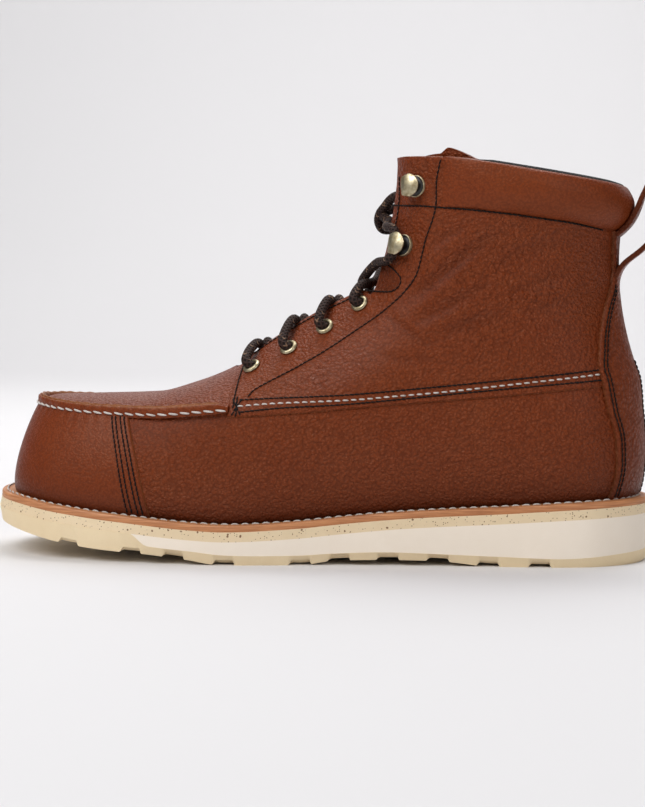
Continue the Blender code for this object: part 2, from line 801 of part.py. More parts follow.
def make_tongue(collection, leather):
    """Tongue inside the throat, cut from the upper's own function and drawn up past the rim."""
    shares = np.linspace(TONGUE[0].share, TONGUE[-1].share, TONGUE_COLUMNS)

    def at(turn, climb, offset):
        low = tongue_row(share_at(turn))
        row = low + climb * (2.0 - low)
        place = surface(turn, row) - offset * normal(turn, row)
        place[2] -= sink(share_at(turn), abs(surface(turn, row)[1]))
        lift = (place[2] - TONGUE_RISE_FROM) / (RIM_FRONT - TONGUE_RISE_FROM)
        ear = (place[0] - TONGUE_EAR_FROM) / TONGUE_EAR_RUN
        place[2] += (TONGUE_RISE + TONGUE_EAR * min(max(ear, 0.0), 1.0)) * min(max(lift, 0.0), 1.0)
        return place

    mesh = shell(
        "tongue",
        (shares, 2.0 - shares[::-1]),
        np.linspace(0.0, 1.0, TONGUE_ROWS + 1),
        lambda turn, climb: at(turn, climb, WALL + TONGUE_GAP),
        lambda turn, climb: at(turn, climb, WALL + TONGUE_GAP + TONGUE_THICK),
    )
    add_object("tongue", mesh, leather, collection)


def make_eyelets(collection, brass):
    """Rolled eyelets, four along each eyestay."""
    net = bmesh.new()
    corners = [net.verts.new((ring.radius * MM, 0.0, ring.height * MM)) for ring in EYELET]
    for k, corner in enumerate(corners):
        net.edges.new((corner, corners[(k + 1) % len(corners)]))
    mesh = bpy.data.meshes.new("eyelet")
    net.to_mesh(mesh)
    net.free()
    for k, stay in enumerate(EYELETS):
        for side, word in SIDES:
            eyelet = add_object(f"eyelet_{word}_{k + 1}", mesh.copy(), brass, collection)
            eyelet.matrix_world = stay_frame(stay, side, 0.0)
            turn = eyelet.modifiers.new("turned", "SCREW")
            turn.steps = turn.render_steps = EYELET_SIDES
            turn.use_merge_vertices = True
            turn.merge_threshold = 0.00001
    bpy.data.meshes.remove(mesh)


def make_hooks(collection, cutters, brass):
    """Speed hooks: a round base with a crook that opens away from the throat."""
    towards = smooth(range(len(CROOK)), [row.towards for row in CROOK])
    out = smooth(range(len(CROOK)), [row.out for row in CROOK])
    half_width = smooth(range(len(CROOK)), [row.half_width for row in CROOK])
    last = len(CROOK) - 1.0

    def crook(place, across, offset):
        run = towards(min(place + 0.05, last)) - towards(max(place - 0.05, 0.0))
        rise = out(min(place + 0.05, last)) - out(max(place - 0.05, 0.0))
        length = math.hypot(run, rise)
        x = towards(place) + offset * rise / length
        return x, across * half_width(place), out(place) - offset * run / length

    def flat(x, y, z):
        return x, y - swing(x), z

    for k, stay in enumerate(HOOKS):
        for side, word in SIDES:
            name = f"hook_{word}_{k + 1}"
            mesh = shell(
                name,
                (np.linspace(0.0, last, HOOK_STATIONS),),
                (-1.0, 0.0, 1.0),
                lambda place, across: flat(*crook(place, across, HOOK_PLATE / 2.0)),
                lambda place, across: flat(*crook(place, across, -HOOK_PLATE / 2.0)),
            )
            hook = add_object(name, mesh, brass, collection)
            hook.matrix_world = stay_frame(stay, side, HOOK_LIFTS[k])
            base = bmesh.new()
            bmesh.ops.create_cone(
                base,
                cap_ends=True,
                segments=HOOK_SIDES,
                radius1=HOOK_BASE * MM,
                radius2=HOOK_BASE * MM,
                depth=HOOK_PLATE * MM,
                matrix=Matrix.Translation((0.0, 0.0, (SEAT + HOOK_PLATE / 2.0) * MM)),
            )
            disc = add_object(f"{name}_base", closed_mesh(f"{name}_base", base), None, cutters, is_cutter=True)
            disc.matrix_world = hook.matrix_world
            join = hook.modifiers.new("base", "BOOLEAN")
            join.object = disc
            join.operation = "UNION"


def over_throat(share, half_width, side, offset):
    """A point over or inside the throat, off the upper's closed form by the offset."""
    turn = share if side < 0 else 2.0 - share
    row = 1.0 + rib_rise(share, half_width)
    place = surface(turn, row) + offset * normal(turn, row)
    place[2] -= sink(share, half_width)
    return place


def hook_point(side, along):
    """A point in line with the crook of a lower hook, up or down the eyestay."""
    frame = stay_frame(HOOKS[0], side, 0.0).to_3x3()
    place = stay_point(HOOKS[0], side, CROOK_OUT)[0]
    up = np.array(frame.col[1])
    up *= math.copysign(1.0, up[2])
    return place + up * along + np.array(frame.col[0]) * CROOK_TOWARDS


def tube_mesh(name, route):
    """A lace along a smooth route, as a closed mesh."""
    count = len(route)
    coordinates = [smooth(range(count), [stop[axis] for stop in route]) for axis in range(3)]
    curve = bpy.data.curves.new(name, "CURVE")
    curve.dimensions = "3D"
    curve.bevel_depth = LACE_RADIUS * MM
    curve.bevel_resolution = LACE_SIDES
    curve.use_fill_caps = True
    spline = curve.splines.new("POLY")
    places = np.linspace(0.0, count - 1.0, 2 * count + 1)
    spline.points.add(len(places) - 1)
    for knot, place in zip(spline.points, places):
        knot.co = (*point(*[coordinate(place) for coordinate in coordinates]), 1.0)
    line = bpy.data.objects.new(name, curve)
    bpy.context.scene.collection.objects.link(line)
    mesh = bpy.data.meshes.new_from_object(line.evaluated_get(bpy.context.evaluated_depsgraph_get()))
    bpy.data.objects.remove(line)
    net = bmesh.new()
    net.from_mesh(mesh)
    bpy.data.meshes.remove(mesh)
    return closed_mesh(name, net)


def make_lace(name, routes, collection, cutters, cord):
    """One lace node: the strands of a crossing joined where they touch."""
    lace = add_object(name, tube_mesh(name, routes[0]), cord, collection)
    for k, route in enumerate(routes[1:]):
        other = add_object(f"{name}_{k}", tube_mesh(f"{name}_{k}", route), None, cutters, is_cutter=True)
        join = lace.modifiers.new("crossing", "BOOLEAN")
        join.object = other
        join.operation = "UNION"


def make_laces(collection, cutters, cord):
    """Bottom bar, crossings from row to row, and the half knot over the lower hooks."""
    over_edge = STEP + 2.0 * SEAT + LACE_RADIUS
    on_tongue = LACE_RADIUS + SEAT - WALL - TONGUE_GAP
    over_eyelet = max(ring.height for ring in EYELET) + 2.0 * SEAT + LACE_RADIUS
    clear = LACE_RADIUS + LACE_CLEAR

    def strand(k, side):
        low, high = EYELETS[k].share, EYELETS[k + 1].share
        near, middle, far = (low + part * (high - low) for part in (LEAVES, 0.5, ENTERS))
        return (
            stay_point(EYELETS[k], side, over_eyelet)[0],
            over_throat(near, throat_gap(near), side, over_edge),
            over_throat(middle, 0.0, side, CROSS_RISE),
            over_throat(far, throat_gap(far) - clear, -side, on_tongue),
        )

    bar = EYELETS[0].share
    reach = throat_gap(bar) - clear
    stops = [over_throat(bar, abs(f) * reach, math.copysign(1.0, f), on_tongue) for f in (-1.0, -0.01, 1.0)]
    make_lace("lace_bar", (stops,), collection, cutters, cord)
    for k in range(len(EYELETS) - 1):
        make_lace(f"lace_{k + 1}", (strand(k, -1), strand(k, 1)), collection, cutters, cord)

    def bridge(side):
        top = EYELETS[-1]
        return (
            stay_point(top, side, over_eyelet)[0],
            over_throat(top.share, throat_gap(top.share), side, over_edge),
            over_throat(*BRIDGE_TOP, side, BRIDGE_RISE),
            over_throat(*BRIDGE_EDGE, -side, over_edge),
            over_throat(*BRIDGE_STAY, -side, over_edge),
            hook_point(-side, -HOOK_CLEAR),
        )

    make_lace(f"lace_{len(EYELETS)}", (bridge(-1), bridge(1)), collection, cutters, cord)

    def half_knot(side):
        rise = KNOT_RISE if side < 0 else KNOT_RISE + LACE_RADIUS
        return (
            hook_point(side, HOOK_CLEAR),
            over_throat(*KNOT_STAY, side, over_edge),
            over_throat(*KNOT_EDGE, side, over_edge),
            over_throat(*KNOT_TOP, side, rise),
            over_throat(*KNOT_TURN, -side, KNOT_TURN_RISE),
            over_throat(*KNOT_END, -side, on_tongue),
        )

    make_lace("lace_knot", (half_knot(-1), half_knot(1)), collection, cutters, cord)


def stand_on_origin(collections, cord_names):
    """Hang everything on one empty, with the middle of the boot's box over the origin."""
    corners = []
    for thing in collections[0].objects:
        if thing.name not in cord_names:
            corners += [thing.matrix_world @ vert.co for vert in thing.data.vertices]
    middle = [(min(c[axis] for c in corners) + max(c[axis] for c in corners)) / 2.0 for axis in range(2)]
    origin = bpy.data.objects.new("boot_origin", None)
    bpy.context.scene.collection.objects.link(origin)
    origin.location = (-middle[0], -middle[1], 0.0)
    for collection in collections:
        for thing in collection.objects:
            thing.parent = origin


def main():
    """Build the boot."""
    for thing in list(bpy.data.objects):
        bpy.data.objects.remove(thing)
    boot = bpy.data.collections.new("safety_boot")
    grooves = bpy.data.collections.new("groove_cutters")
    holes = bpy.data.collections.new("hole_cutters")
    joined = bpy.data.collections.new("joined_shapes")
    for collection in (boot, grooves, holes, joined):
        bpy.context.scene.collection.children.link(collection)
    rubber = finish("cream_rubber", (0.68, 0.60, 0.42), 0.6)
    foam = finish("white_foam", (0.80, 0.77, 0.70), 0.7)
    speckled = finish("speckled_layer", (0.72, 0.66, 0.52), 0.7)
    welt_leather = finish("tan_welt", (0.45, 0.29, 0.15), 0.6)
    sock = finish("insole_fabric", (0.12, 0.10, 0.09), 0.9)
    leather = finish("brown_leather", (0.21, 0.085, 0.035), 0.5)
    brass = finish("antique_brass", (0.45, 0.30, 0.12), 0.35, 1.0)
    cord = finish("brown_lace", (0.05, 0.03, 0.025), 0.8)
    make_sole(boot, grooves, rubber, foam, speckled, welt_leather, sock)
    make_upper(boot, holes, leather)
    make_lip(boot, leather)
    make_cuff(boot, leather)
    make_backstay(boot, leather)
    make_pull_loop(boot, leather)
    make_tongue(boot, leather)
    make_eyelets(boot, brass)
    make_hooks(boot, joined, brass)
    make_laces(boot, joined, cord)
    stand_on_origin((boot, grooves, holes, joined), ("lace_knot",))


main()
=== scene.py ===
"""Looks of the safety boot: leather panels, seams, lacing, sole and studio light."""

import logging
import math
from dataclasses import dataclass
from enum import Enum
from functools import cache
from typing import Iterable, NamedTuple, Optional, Sequence

import bpy
import numpy as np
from mathutils import Matrix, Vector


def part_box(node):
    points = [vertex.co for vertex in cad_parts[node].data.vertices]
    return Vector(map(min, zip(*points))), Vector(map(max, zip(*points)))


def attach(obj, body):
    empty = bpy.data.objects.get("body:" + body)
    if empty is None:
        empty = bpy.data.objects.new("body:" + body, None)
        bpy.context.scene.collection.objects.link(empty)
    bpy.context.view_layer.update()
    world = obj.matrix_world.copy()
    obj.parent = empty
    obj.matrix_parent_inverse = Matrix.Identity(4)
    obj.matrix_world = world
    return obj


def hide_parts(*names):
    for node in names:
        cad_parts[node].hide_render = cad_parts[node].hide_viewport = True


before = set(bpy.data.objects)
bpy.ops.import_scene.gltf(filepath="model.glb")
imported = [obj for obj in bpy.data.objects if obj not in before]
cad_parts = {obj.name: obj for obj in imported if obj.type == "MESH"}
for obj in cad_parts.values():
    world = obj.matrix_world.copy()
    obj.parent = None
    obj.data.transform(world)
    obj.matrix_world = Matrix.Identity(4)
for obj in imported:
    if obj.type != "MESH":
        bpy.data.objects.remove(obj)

Array = np.ndarray
Colour = tuple[float, float, float]
Marks = Optional[dict[str, Array]]
Node = bpy.types.Node
Object = bpy.types.Object
Profile = tuple[tuple[float, float], ...]
Route = tuple[tuple[float, float, float], ...]
Socket = bpy.types.NodeSocket
LOG = logging.getLogger("boot")
MM = 0.001
MERGE = 0.000002
CLOSE = np.array((0.0, 0.06, 0.2, 0.42, 0.7))


class PlanRow(NamedTuple):
    """A station of the sole's outline, in millimetres."""

    x: float
    half_width: float
    swing: float


class SideRow(NamedTuple):
    """Heights of the sole's layers at a station, in millimetres."""

    x: float
    ground: float
    welt_top: float
    wedge_depth: float


class SeamRow(NamedTuple):
    """A station of the moccasin seam and of the shoulder line behind it, in millimetres."""

    x: float
    half_width: float
    z: float


class TopRow(NamedTuple):
    """Where a rib of the upper ends: on the crest over the foot, then on the collar."""

    share: float
    x: float
    half_width: float
    z: float
    crown: float
    peak: float
    bow: float


class ThroatRow(NamedTuple):
    """Half the lacing gap, and how far tongue and laces lie below the arch in it."""

    share: float
    half_gap: float
    sink: float


class Stay(NamedTuple):
    """A fastening on the eyestay, as share from toe to heel and row up the upper."""

    share: float
    row: float


class Spot(NamedTuple):
    """A place on the boot's side, in millimetres along it and up from the floor."""

    x: float
    z: float


class Skin(NamedTuple):
    """Points on the leather, and the direction out of it at each."""

    points: Array
    normals: Array

    def off(self, offset: Array) -> Array:
        """Points off the leather by an offset in millimetres."""
        return self.points + np.asarray(offset)[..., None] * self.normals


PLAN = (
    PlanRow(-156.0, 0.0, 5.0),
    PlanRow(-144.0, 36.5, 3.4),
    PlanRow(-131.0, 46.5, 1.8),
    PlanRow(-111.0, 53.0, 0.0),
    PlanRow(-75.0, 57.0, -2.2),
    PlanRow(-36.0, 54.5, -3.6),
    PlanRow(24.0, 44.5, -3.2),
    PlanRow(84.0, 41.0, -0.8),
    PlanRow(109.0, 40.0, 0.0),
    PlanRow(129.0, 36.0, 0.0),
    PlanRow(144.0, 26.5, 0.0),
    PlanRow(156.0, 0.0, 0.0),
)
SIDE = (
    SideRow(-156.0, 16.0, 29.3, 0.0),
    SideRow(-138.0, 13.0, 28.2, 0.0),
    SideRow(-116.0, 8.8, 25.3, 0.0),
    SideRow(-96.0, 6.2, 23.1, 0.0),
    SideRow(-77.0, 4.9, 21.4, 0.0),
    SideRow(-68.0, 4.3, 20.5, 5.0),
    SideRow(-50.0, 2.2, 18.9, 5.2),
    SideRow(-34.0, 0.0, 18.1, 6.1),
    SideRow(0.0, 0.0, 19.7, 7.9),
    SideRow(16.0, 2.0, 21.4, 8.7),
    SideRow(40.0, 2.6, 23.8, 10.3),
    SideRow(60.0, 2.4, 25.2, 12.2),
    SideRow(90.0, 0.0, 26.8, 14.8),
    SideRow(125.0, 0.0, 29.0, 17.6),
    SideRow(150.0, 0.0, 29.8, 16.8),
    SideRow(156.0, 0.5, 29.8, 16.4),
)
SEAM = (
    SeamRow(-135.0, 0.0, 70.4),
    SeamRow(-128.0, 18.5, 69.6),
    SeamRow(-115.5, 30.0, 68.5),
    SeamRow(-94.0, 38.5, 67.4),
    SeamRow(-70.0, 43.0, 67.1),
    SeamRow(-40.0, 45.2, 69.3),
    SeamRow(0.0, 44.3, 72.3),
    SeamRow(45.0, 40.5, 76.5),
    SeamRow(90.0, 36.8, 80.2),
    SeamRow(118.0, 31.5, 83.0),
    SeamRow(135.5, 22.5, 84.7),
    SeamRow(144.3, 11.5, 85.6),
    SeamRow(147.6, 0.0, 86.0),
)
TOP = (
    TopRow(0.0, -134.6, 0.0, 71.8, 1.0, 2.0, 0.0),
    TopRow(0.10, -128.0, 0.0, 73.6, 1.0, 2.0, 0.0),
    TopRow(0.20, -107.9, 0.0, 74.3, 1.0, 2.0, 0.0),
    TopRow(0.30, -76.8, 0.0, 75.6, 1.0, 2.0, 0.0),
    TopRow(0.35, -57.6, 0.0, 80.6, 1.0, 1.8, 0.0),
    TopRow(0.40, -37.2, 0.0, 89.0, 1.0, 1.4, 0.0),
    TopRow(0.45, -15.6, 0.0, 107.6, 1.0, 1.25, 0.0),
    TopRow(0.50, 6.4, 0.0, 123.4, 1.0, 1.25, 0.0),
    TopRow(0.55, 28.2, 0.0, 136.6, 1.0, 1.35, 0.0),
    TopRow(0.58, 34.2, 0.0, 148.0, 1.0, 1.45, 0.0),
    TopRow(0.61, 36.6, 0.0, 167.0, 1.0, 1.5, 0.0),
    TopRow(0.64, 38.0, 0.0, 184.5, 1.0, 1.6, 0.0),
    TopRow(0.66, 41.0, 14.5, 184.8, 0.7, 1.7, 0.0),
    TopRow(0.70, 51.0, 25.5, 184.8, 0.35, 2.0, 0.0),
    TopRow(0.75, 65.5, 33.0, 184.2, 0.1, 2.0, -1.0),
    TopRow(0.80, 84.0, 36.5, 181.8, 0.0, 2.0, -2.5),
    TopRow(0.86, 107.0, 35.0, 178.0, 0.0, 2.0, -4.5),
    TopRow(0.92, 127.8, 26.0, 174.6, 0.0, 2.0, -5.8),
    TopRow(0.96, 138.6, 14.5, 172.8, 0.0, 2.0, -6.4),
    TopRow(1.0, 142.8, 0.0, 172.0, 0.0, 2.0, -6.7),
)
THROAT = (
    ThroatRow(0.40, 9.5, 0.0),
    ThroatRow(0.46, 11.5, 10.5),
    ThroatRow(0.535, 12.0, 12.0),
    ThroatRow(0.556, 18.5, 11.0),
    ThroatRow(0.577, 12.5, 8.0),
    ThroatRow(0.64, 13.5, 0.0),
    ThroatRow(0.66, 14.4, 0.0),
)
EYELETS = (Stay(0.4292, 1.512), Stay(0.4684, 1.5145), Stay(0.5052, 1.549), Stay(0.54, 1.595))
HOOKS = (Stay(0.63, 1.514), Stay(0.683, 1.798))
SIDES = ((-1.0, "outer"), (1.0, "inner"))
CUFF_SEAM = (
    Spot(39.2, 163.0), Spot(53.2, 162.2), Spot(62.5, 161.4), Spot(80.7, 159.9), Spot(102.9, 157.1),
    Spot(120.4, 154.5), Spot(133.5, 151.6),
)


class Smooth:
    """A curve through values at places that never overshoots them."""

    def __init__(self, places: Sequence[float], values: Sequence[float]) -> None:
        """Fit the tangents.

        Args:
            places: rising places.
            values: the value at each place.
        """
        self.places = np.asarray(places, float)
        self.values = np.asarray(values, float)
        self.steps = np.diff(self.places)
        slopes = np.diff(self.values) / self.steps
        self.tangents = np.zeros(len(self.places))
        self.tangents[0] = slopes[0]
        self.tangents[-1] = slopes[-1]
        for k in range(1, len(slopes)):
            if slopes[k - 1] * slopes[k] > 0.0:
                before = 2.0 * self.steps[k] + self.steps[k - 1]
                after = self.steps[k] + 2.0 * self.steps[k - 1]
                self.tangents[k] = (before + after) / (before / slopes[k - 1] + after / slopes[k])

    def __call__(self, place: Array) -> Array:
        """The value at each place.

        Args:
            place: places along the curve; past its ends the end values hold.

        Returns:
            One value a place.
        """
        place = np.asarray(place, float)
        k = np.clip(np.searchsorted(self.places, place) - 1, 0, len(self.steps) - 1)
        f = np.clip((place - self.places[k]) / self.steps[k], 0.0, 1.0)
        start = f * (1.0 - f) ** 2 * self.steps[k] * self.tangents[k]
        end = f * f * (f - 1.0) * self.steps[k] * self.tangents[k + 1]
        rise = (self.values[k + 1] - self.values[k]) * f * f * (3.0 - 2.0 * f)
        return self.values[k] + rise + start + end


def column(table: Sequence[NamedTuple], place: str, value: str) -> Smooth:
    """A smooth curve of one named column of a table over another."""
    return Smooth([getattr(row, place) for row in table], [getattr(row, value) for row in table])


def share_of(x: Array, first: float, last: float) -> Array:
    """Share of the way from toe to heel, even by angle so that both ends are round."""
    return np.arccos(np.clip(1.0 - 2.0 * (np.asarray(x) - first) / (last - first), -1.0, 1.0)) / np.pi


def place_of(share: Array, first: float, last: float) -> Array:
    """The x at a share of the way from toe to heel."""
    return first + (last - first) * (1.0 - np.cos(np.pi * np.asarray(share))) / 2.0


def outline(table: Sequence[NamedTuple], value: str) -> Smooth:
    """A smooth curve over share for one column of a table that runs from toe to heel."""
    shares = [float(share_of(row.x, table[0].x, table[-1].x)) for row in table]
    return Smooth(shares, [getattr(row, value) for row in table])


def unit(vectors: Array) -> Array:
    """Vectors of length one."""
    return vectors / np.maximum(np.linalg.norm(vectors, axis=-1, keepdims=True), 1e-9)


def ramp(value: Array, start: float, width: float) -> Array:
    """0 up to a start, 1 from a width past it, and even between; a negative width runs backwards."""
    return np.clip((value - start) / width, 0.0, 1.0)


def lengths(points: Array) -> Array:
    """How far each point of a line lies along it from the first."""
    return np.cumsum(np.linalg.norm(np.diff(points, axis=0, prepend=points[:1]), axis=-1), axis=0)


def level_normals(path: Array) -> Array:
    """Directions square to a path that lies in the plane of x and z."""
    along = unit(np.gradient(path, axis=0))
    return np.stack((along[:, 2], np.zeros(len(path)), -along[:, 0]), -1)


def turn_on(side: float, share: float) -> float:
    """The turn of a share on the outer side, where side is -1, or on the inner one."""
    return share if side < 0.0 else 2.0 - share


@dataclass
class Last:
    """The boot's own shape on a straight foot, in millimetres: toe at -x, outer side at -y."""

    shift: tuple[float, float]
    sole_length: float = 312.0
    seat: float = 0.3
    wall: float = 2.4
    lap: float = 1.2
    bulge: float = 11.0
    throat_share: float = 0.40
    collar_share: float = 0.66

    def __post_init__(self) -> None:
        """Draw the smooth curves through the tables."""
        self.plan_width = outline(PLAN, "half_width")
        self.swing = column(PLAN, "x", "swing")
        self.ground = column(SIDE, "x", "ground")
        self.welt_top = column(SIDE, "x", "welt_top")
        self.wedge_depth = column(SIDE, "x", "wedge_depth")
        self.margin = Smooth((0.0, 0.15, 0.4, 0.7, 1.0), (12.4, 8.8, 7.0, 6.6, 7.4))
        self.seam_width = outline(SEAM, "half_width")
        self.seam_height = outline(SEAM, "z")
        self.top = {name: column(TOP, "share", name) for name in TopRow._fields[1:]}
        self.throat_gap = column(THROAT, "share", "half_gap")
        self.throat_sink = column(THROAT, "share", "sink")
        self.cap_share = Smooth((0.0, 0.6, 1.0), (0.357, 0.320, 0.290))
        self.heel_half = Smooth(
            (0.0, 0.3, 0.47, 0.75, 1.0, 1.14, 1.34, 1.5, 1.58, 1.76),
            (0.138, 0.125, 0.125, 0.1375, 0.143, 0.119, 0.0725, 0.034, 0.025, 0.024),
        )
        shares, rows = np.meshgrid(np.linspace(0.03, 0.99, 161), np.linspace(0.02, 1.98, 121))
        self.net = np.stack((shares.ravel(), rows.ravel()), -1)
        self.net_places = self.surface(self.net[:, 0], self.net[:, 1])

    @staticmethod
    def share_at(turn: Array) -> Array:
        """Share of the way from toe to heel at a turn, on either side."""
        turn = np.asarray(turn, float) % 2.0
        return np.where(turn <= 1.0, turn, 2.0 - turn)

    def place(self, points: Array) -> Array:
        """Points of the straight boot swung to the left foot and set in the row's frame.

        Args:
            points: points in millimetres.

        Returns:
            The same points in metres.
        """
        placed = np.array(points, float)
        placed[..., 1] += self.swing(placed[..., 0]) + self.shift[1]
        placed[..., 0] += self.shift[0]
        return placed * MM

    def plan(self, share: Array, inset: Array) -> tuple[Array, Array]:
        """The sole's outline drawn in by an inset.

        Args:
            share: shares from toe to heel.
            inset: millimetres inwards.

        Returns:
            The x and the half width.
        """
        half = self.sole_length / 2.0
        share = np.asarray(share, float)
        ahead, behind = np.minimum(share + 0.001, 1.0), np.maximum(share - 0.001, 0.0)
        along = place_of(ahead, -half, half) - place_of(behind, -half, half)
        along = np.where((share <= 0.0) | (share >= 1.0), 0.0, along)
        across = self.plan_width(ahead) - self.plan_width(behind)
        length = np.hypot(along, across)
        x = place_of(share, -half, half) + inset * across / length
        return x, np.maximum(self.plan_width(share) - inset * along / length, 0.0)

    def seam(self, share: Array) -> Array:
        """The shoulder seam as x, half width and height."""
        x = place_of(share, SEAM[0].x, SEAM[-1].x)
        return np.stack((x, self.seam_width(share), self.seam_height(share)), -1)

    def side_wall(self, share: Array, rise: Array) -> Array:
        """The upper between welt and seam, full near the welt.

        Args:
            share: shares from toe to heel.
            rise: 0 at the welt, 1 at the seam.

        Returns:
            Points as x, half width and height.
        """
        x, width = self.plan(share, self.margin(share))
        low = np.stack((x, width, self.welt_top(x) + self.seat), -1)
        chord = low + (self.seam(share) - low) * rise[..., None]
        ahead = self.plan(np.minimum(share + 0.002, 1.0), 8.0)
        behind = self.plan(np.maximum(share - 0.002, 0.0), 8.0)
        along = np.where((share <= 0.0) | (share >= 1.0), 0.0, ahead[0] - behind[0])
        across = ahead[1] - behind[1]
        fullness = self.bulge * rise**0.6 * (1.0 - rise) ** 0.85 / np.hypot(along, across)
        chord[..., 0] -= fullness * across
        chord[..., 1] = np.maximum(chord[..., 1] + fullness * along, 0.0)
        return chord

    def rib(self, share: Array, rise: Array) -> Array:
        """The upper between seam and top line, evened out where the arch turns into the shaft.

        Args:
            share: shares from toe to heel.
            rise: 0 at the seam, 1 at the top line.

        Returns:
            Points as x, half width and height.
        """
        step = 0.011 * ramp(share, 0.585, 0.03) * ramp(share, 0.735, -0.03)
        weights = {-2.0: 1.0, -1.0: 2.0, 0.0: 3.0, 1.0: 2.0, 2.0: 1.0}
        return sum(weight / 9.0 * self.arch(share + k * step, rise) for k, weight in weights.items())

    def arch(self, share: Array, rise: Array) -> Array:
        """One section between seam and top line: an arch over the foot, a wall round the ankle.

        Args:
            share: shares from toe to heel.
            rise: 0 at the seam, 1 at the top line.

        Returns:
            Points as x, half width and height.
        """
        seam = self.seam(share)
        top = {name: curve(share) for name, curve in self.top.items()}
        crown, peak = top["crown"], top["peak"]
        t = (1.0 - crown) * rise + crown * np.sin(0.5 * np.pi * rise) ** (2.0 / peak)
        room = np.maximum(1.0 - t ** (2.0 + crown * (peak - 2.0)), 0.0)
        swell = room ** (1.0 / (1.0 + crown * (peak - 1.0)))
        across = top["half_width"] + (seam[..., 1] - top["half_width"]) * swell
        lean = seam[..., 0] + (top["x"] - seam[..., 0]) * t + top["bow"] * 4.0 * t * (1.0 - t)
        return np.stack((lean, across, seam[..., 2] + (top["z"] - seam[..., 2]) * t), -1)

    def surface(self, turn: Array, row: Array) -> Array:
        """Outer face of the upper.

        Args:
            turn: 0 at the toe, 1 at the heel along the outer side, 2 at the toe again.
            row: 0 at the welt, 1 at the seam, 2 at the top line.

        Returns:
            Points in millimetres.
        """
        turn, row = np.broadcast_arrays(np.asarray(turn, float), np.asarray(row, float))
        share = self.share_at(turn)
        low = self.side_wall(share, np.clip(row, 0.0, 1.0))
        high = self.rib(share, np.clip(row - 1.0, 0.0, 1.0))
        points = np.where((row <= 1.0)[..., None], low, high)
        points[..., 1] *= np.where(turn % 2.0 <= 1.0, -1.0, 1.0)
        return points

    def normal(self, turn: Array, row: Array) -> Array:
        """Outward direction of the upper.

        Args:
            turn: 0 at the toe, 1 at the heel along the outer side, 2 at the toe again.
            row: 0 at the welt, 1 at the seam, 2 at the top line.

        Returns:
            Directions of length one.
        """
        turn, row = np.broadcast_arrays(np.asarray(turn, float), np.asarray(row, float))
        level = np.minimum(row, 1.98)
        across = self.surface(turn + 0.004, level) - self.surface(turn - 0.004, level)
        up = self.surface(turn, np.minimum(row + 0.01, 2.0)) - self.surface(turn, np.maximum(row - 0.01, 0.0))
        out = np.cross(across, up)
        on_crest = np.abs(self.surface(turn, row)[..., 1]) < 0.01
        out[..., 1] = np.where(on_crest, 0.0, out[..., 1])
        return unit(out)

    def skin(self, turn: Array, row: Array) -> Skin:
        """Points of the outer face with their outward directions."""
        return Skin(self.surface(turn, row), self.normal(turn, row))

    def lip_ease(self, share: Array) -> Array:
        """How far the moccasin lip steps out behind the toe."""
        return 1.8 * ramp(share, 0.28, 0.08)

    def heel_lap(self, row: Array) -> Array:
        """How far the quarters lift the heel panel off the wall."""
        return self.lap * ramp(row, 0.72, 0.22)

    def throat_top(self, share: Array) -> Array:
        """The last row of leather: the edge of the throat, and the top line before and behind it.

        Args:
            share: shares from toe to heel.

        Returns:
            One row a share.
        """
        low, high = np.zeros_like(share), np.ones_like(share)
        for _ in range(30):
            middle = 0.5 * (low + high)
            is_wide = self.rib(share, middle)[..., 1] > self.throat_gap(share)
            low, high = np.where(is_wide, middle, low), np.where(is_wide, high, middle)
        is_open = (share > self.throat_share) & (share < self.collar_share)
        return np.where(is_open, 1.0 + high, 2.0)

    def over_throat(self, share: float, half_width: float, side: float, offset: float) -> Array:
        """A point over or inside the throat.

        Args:
            share: share from toe to heel.
            half_width: millimetres from the middle line.
            side: -1 for the outer side, 1 for the inner one.
            offset: millimetres off the upper's closed form.

        Returns:
            The point in millimetres.
        """
        lean = min(half_width / float(self.seam_width(share)), 1.0) ** (0.5 * float(self.top["peak"](share)))
        row = 1.0 + 2.0 / math.pi * math.acos(lean)
        point = self.skin(turn_on(side, share), row).off(offset)
        point[2] -= float(self.sink(np.array(share), np.array(half_width)))
        return point

    def sink(self, share: Array, half_width: Array) -> Array:
        """How far tongue and laces lie below the upper's own arch in the throat."""
        depth = self.throat_sink(share) * np.maximum(1.0 - (half_width / self.throat_gap(share)) ** 2, 0.0)
        return np.where((share >= THROAT[0].share) & (share <= THROAT[-1].share), depth, 0.0)

    def stay_axes(self, stay: Stay, side: float) -> Array:
        """Axes of an eyestay fastening.

        Args:
            stay: the fastening.
            side: -1 for the outer side, 1 for the inner one.

        Returns:
            Three rows: level towards the throat, along the eyestay, and out of the leather.
        """
        out = self.normal(turn_on(side, stay.share), stay.row)
        towards = np.array((-out[1], out[0], 0.0))
        towards *= math.copysign(1.0, -side * out[0]) / np.linalg.norm(towards)
        return np.array((towards, np.cross(out, towards), out))

    def stay_point(self, stay: Stay, side: float, offset: float) -> Array:
        """A point over an eyestay fastening, off the lapped leather by an offset."""
        return self.skin(turn_on(side, stay.share), stay.row).off(self.lap + offset)

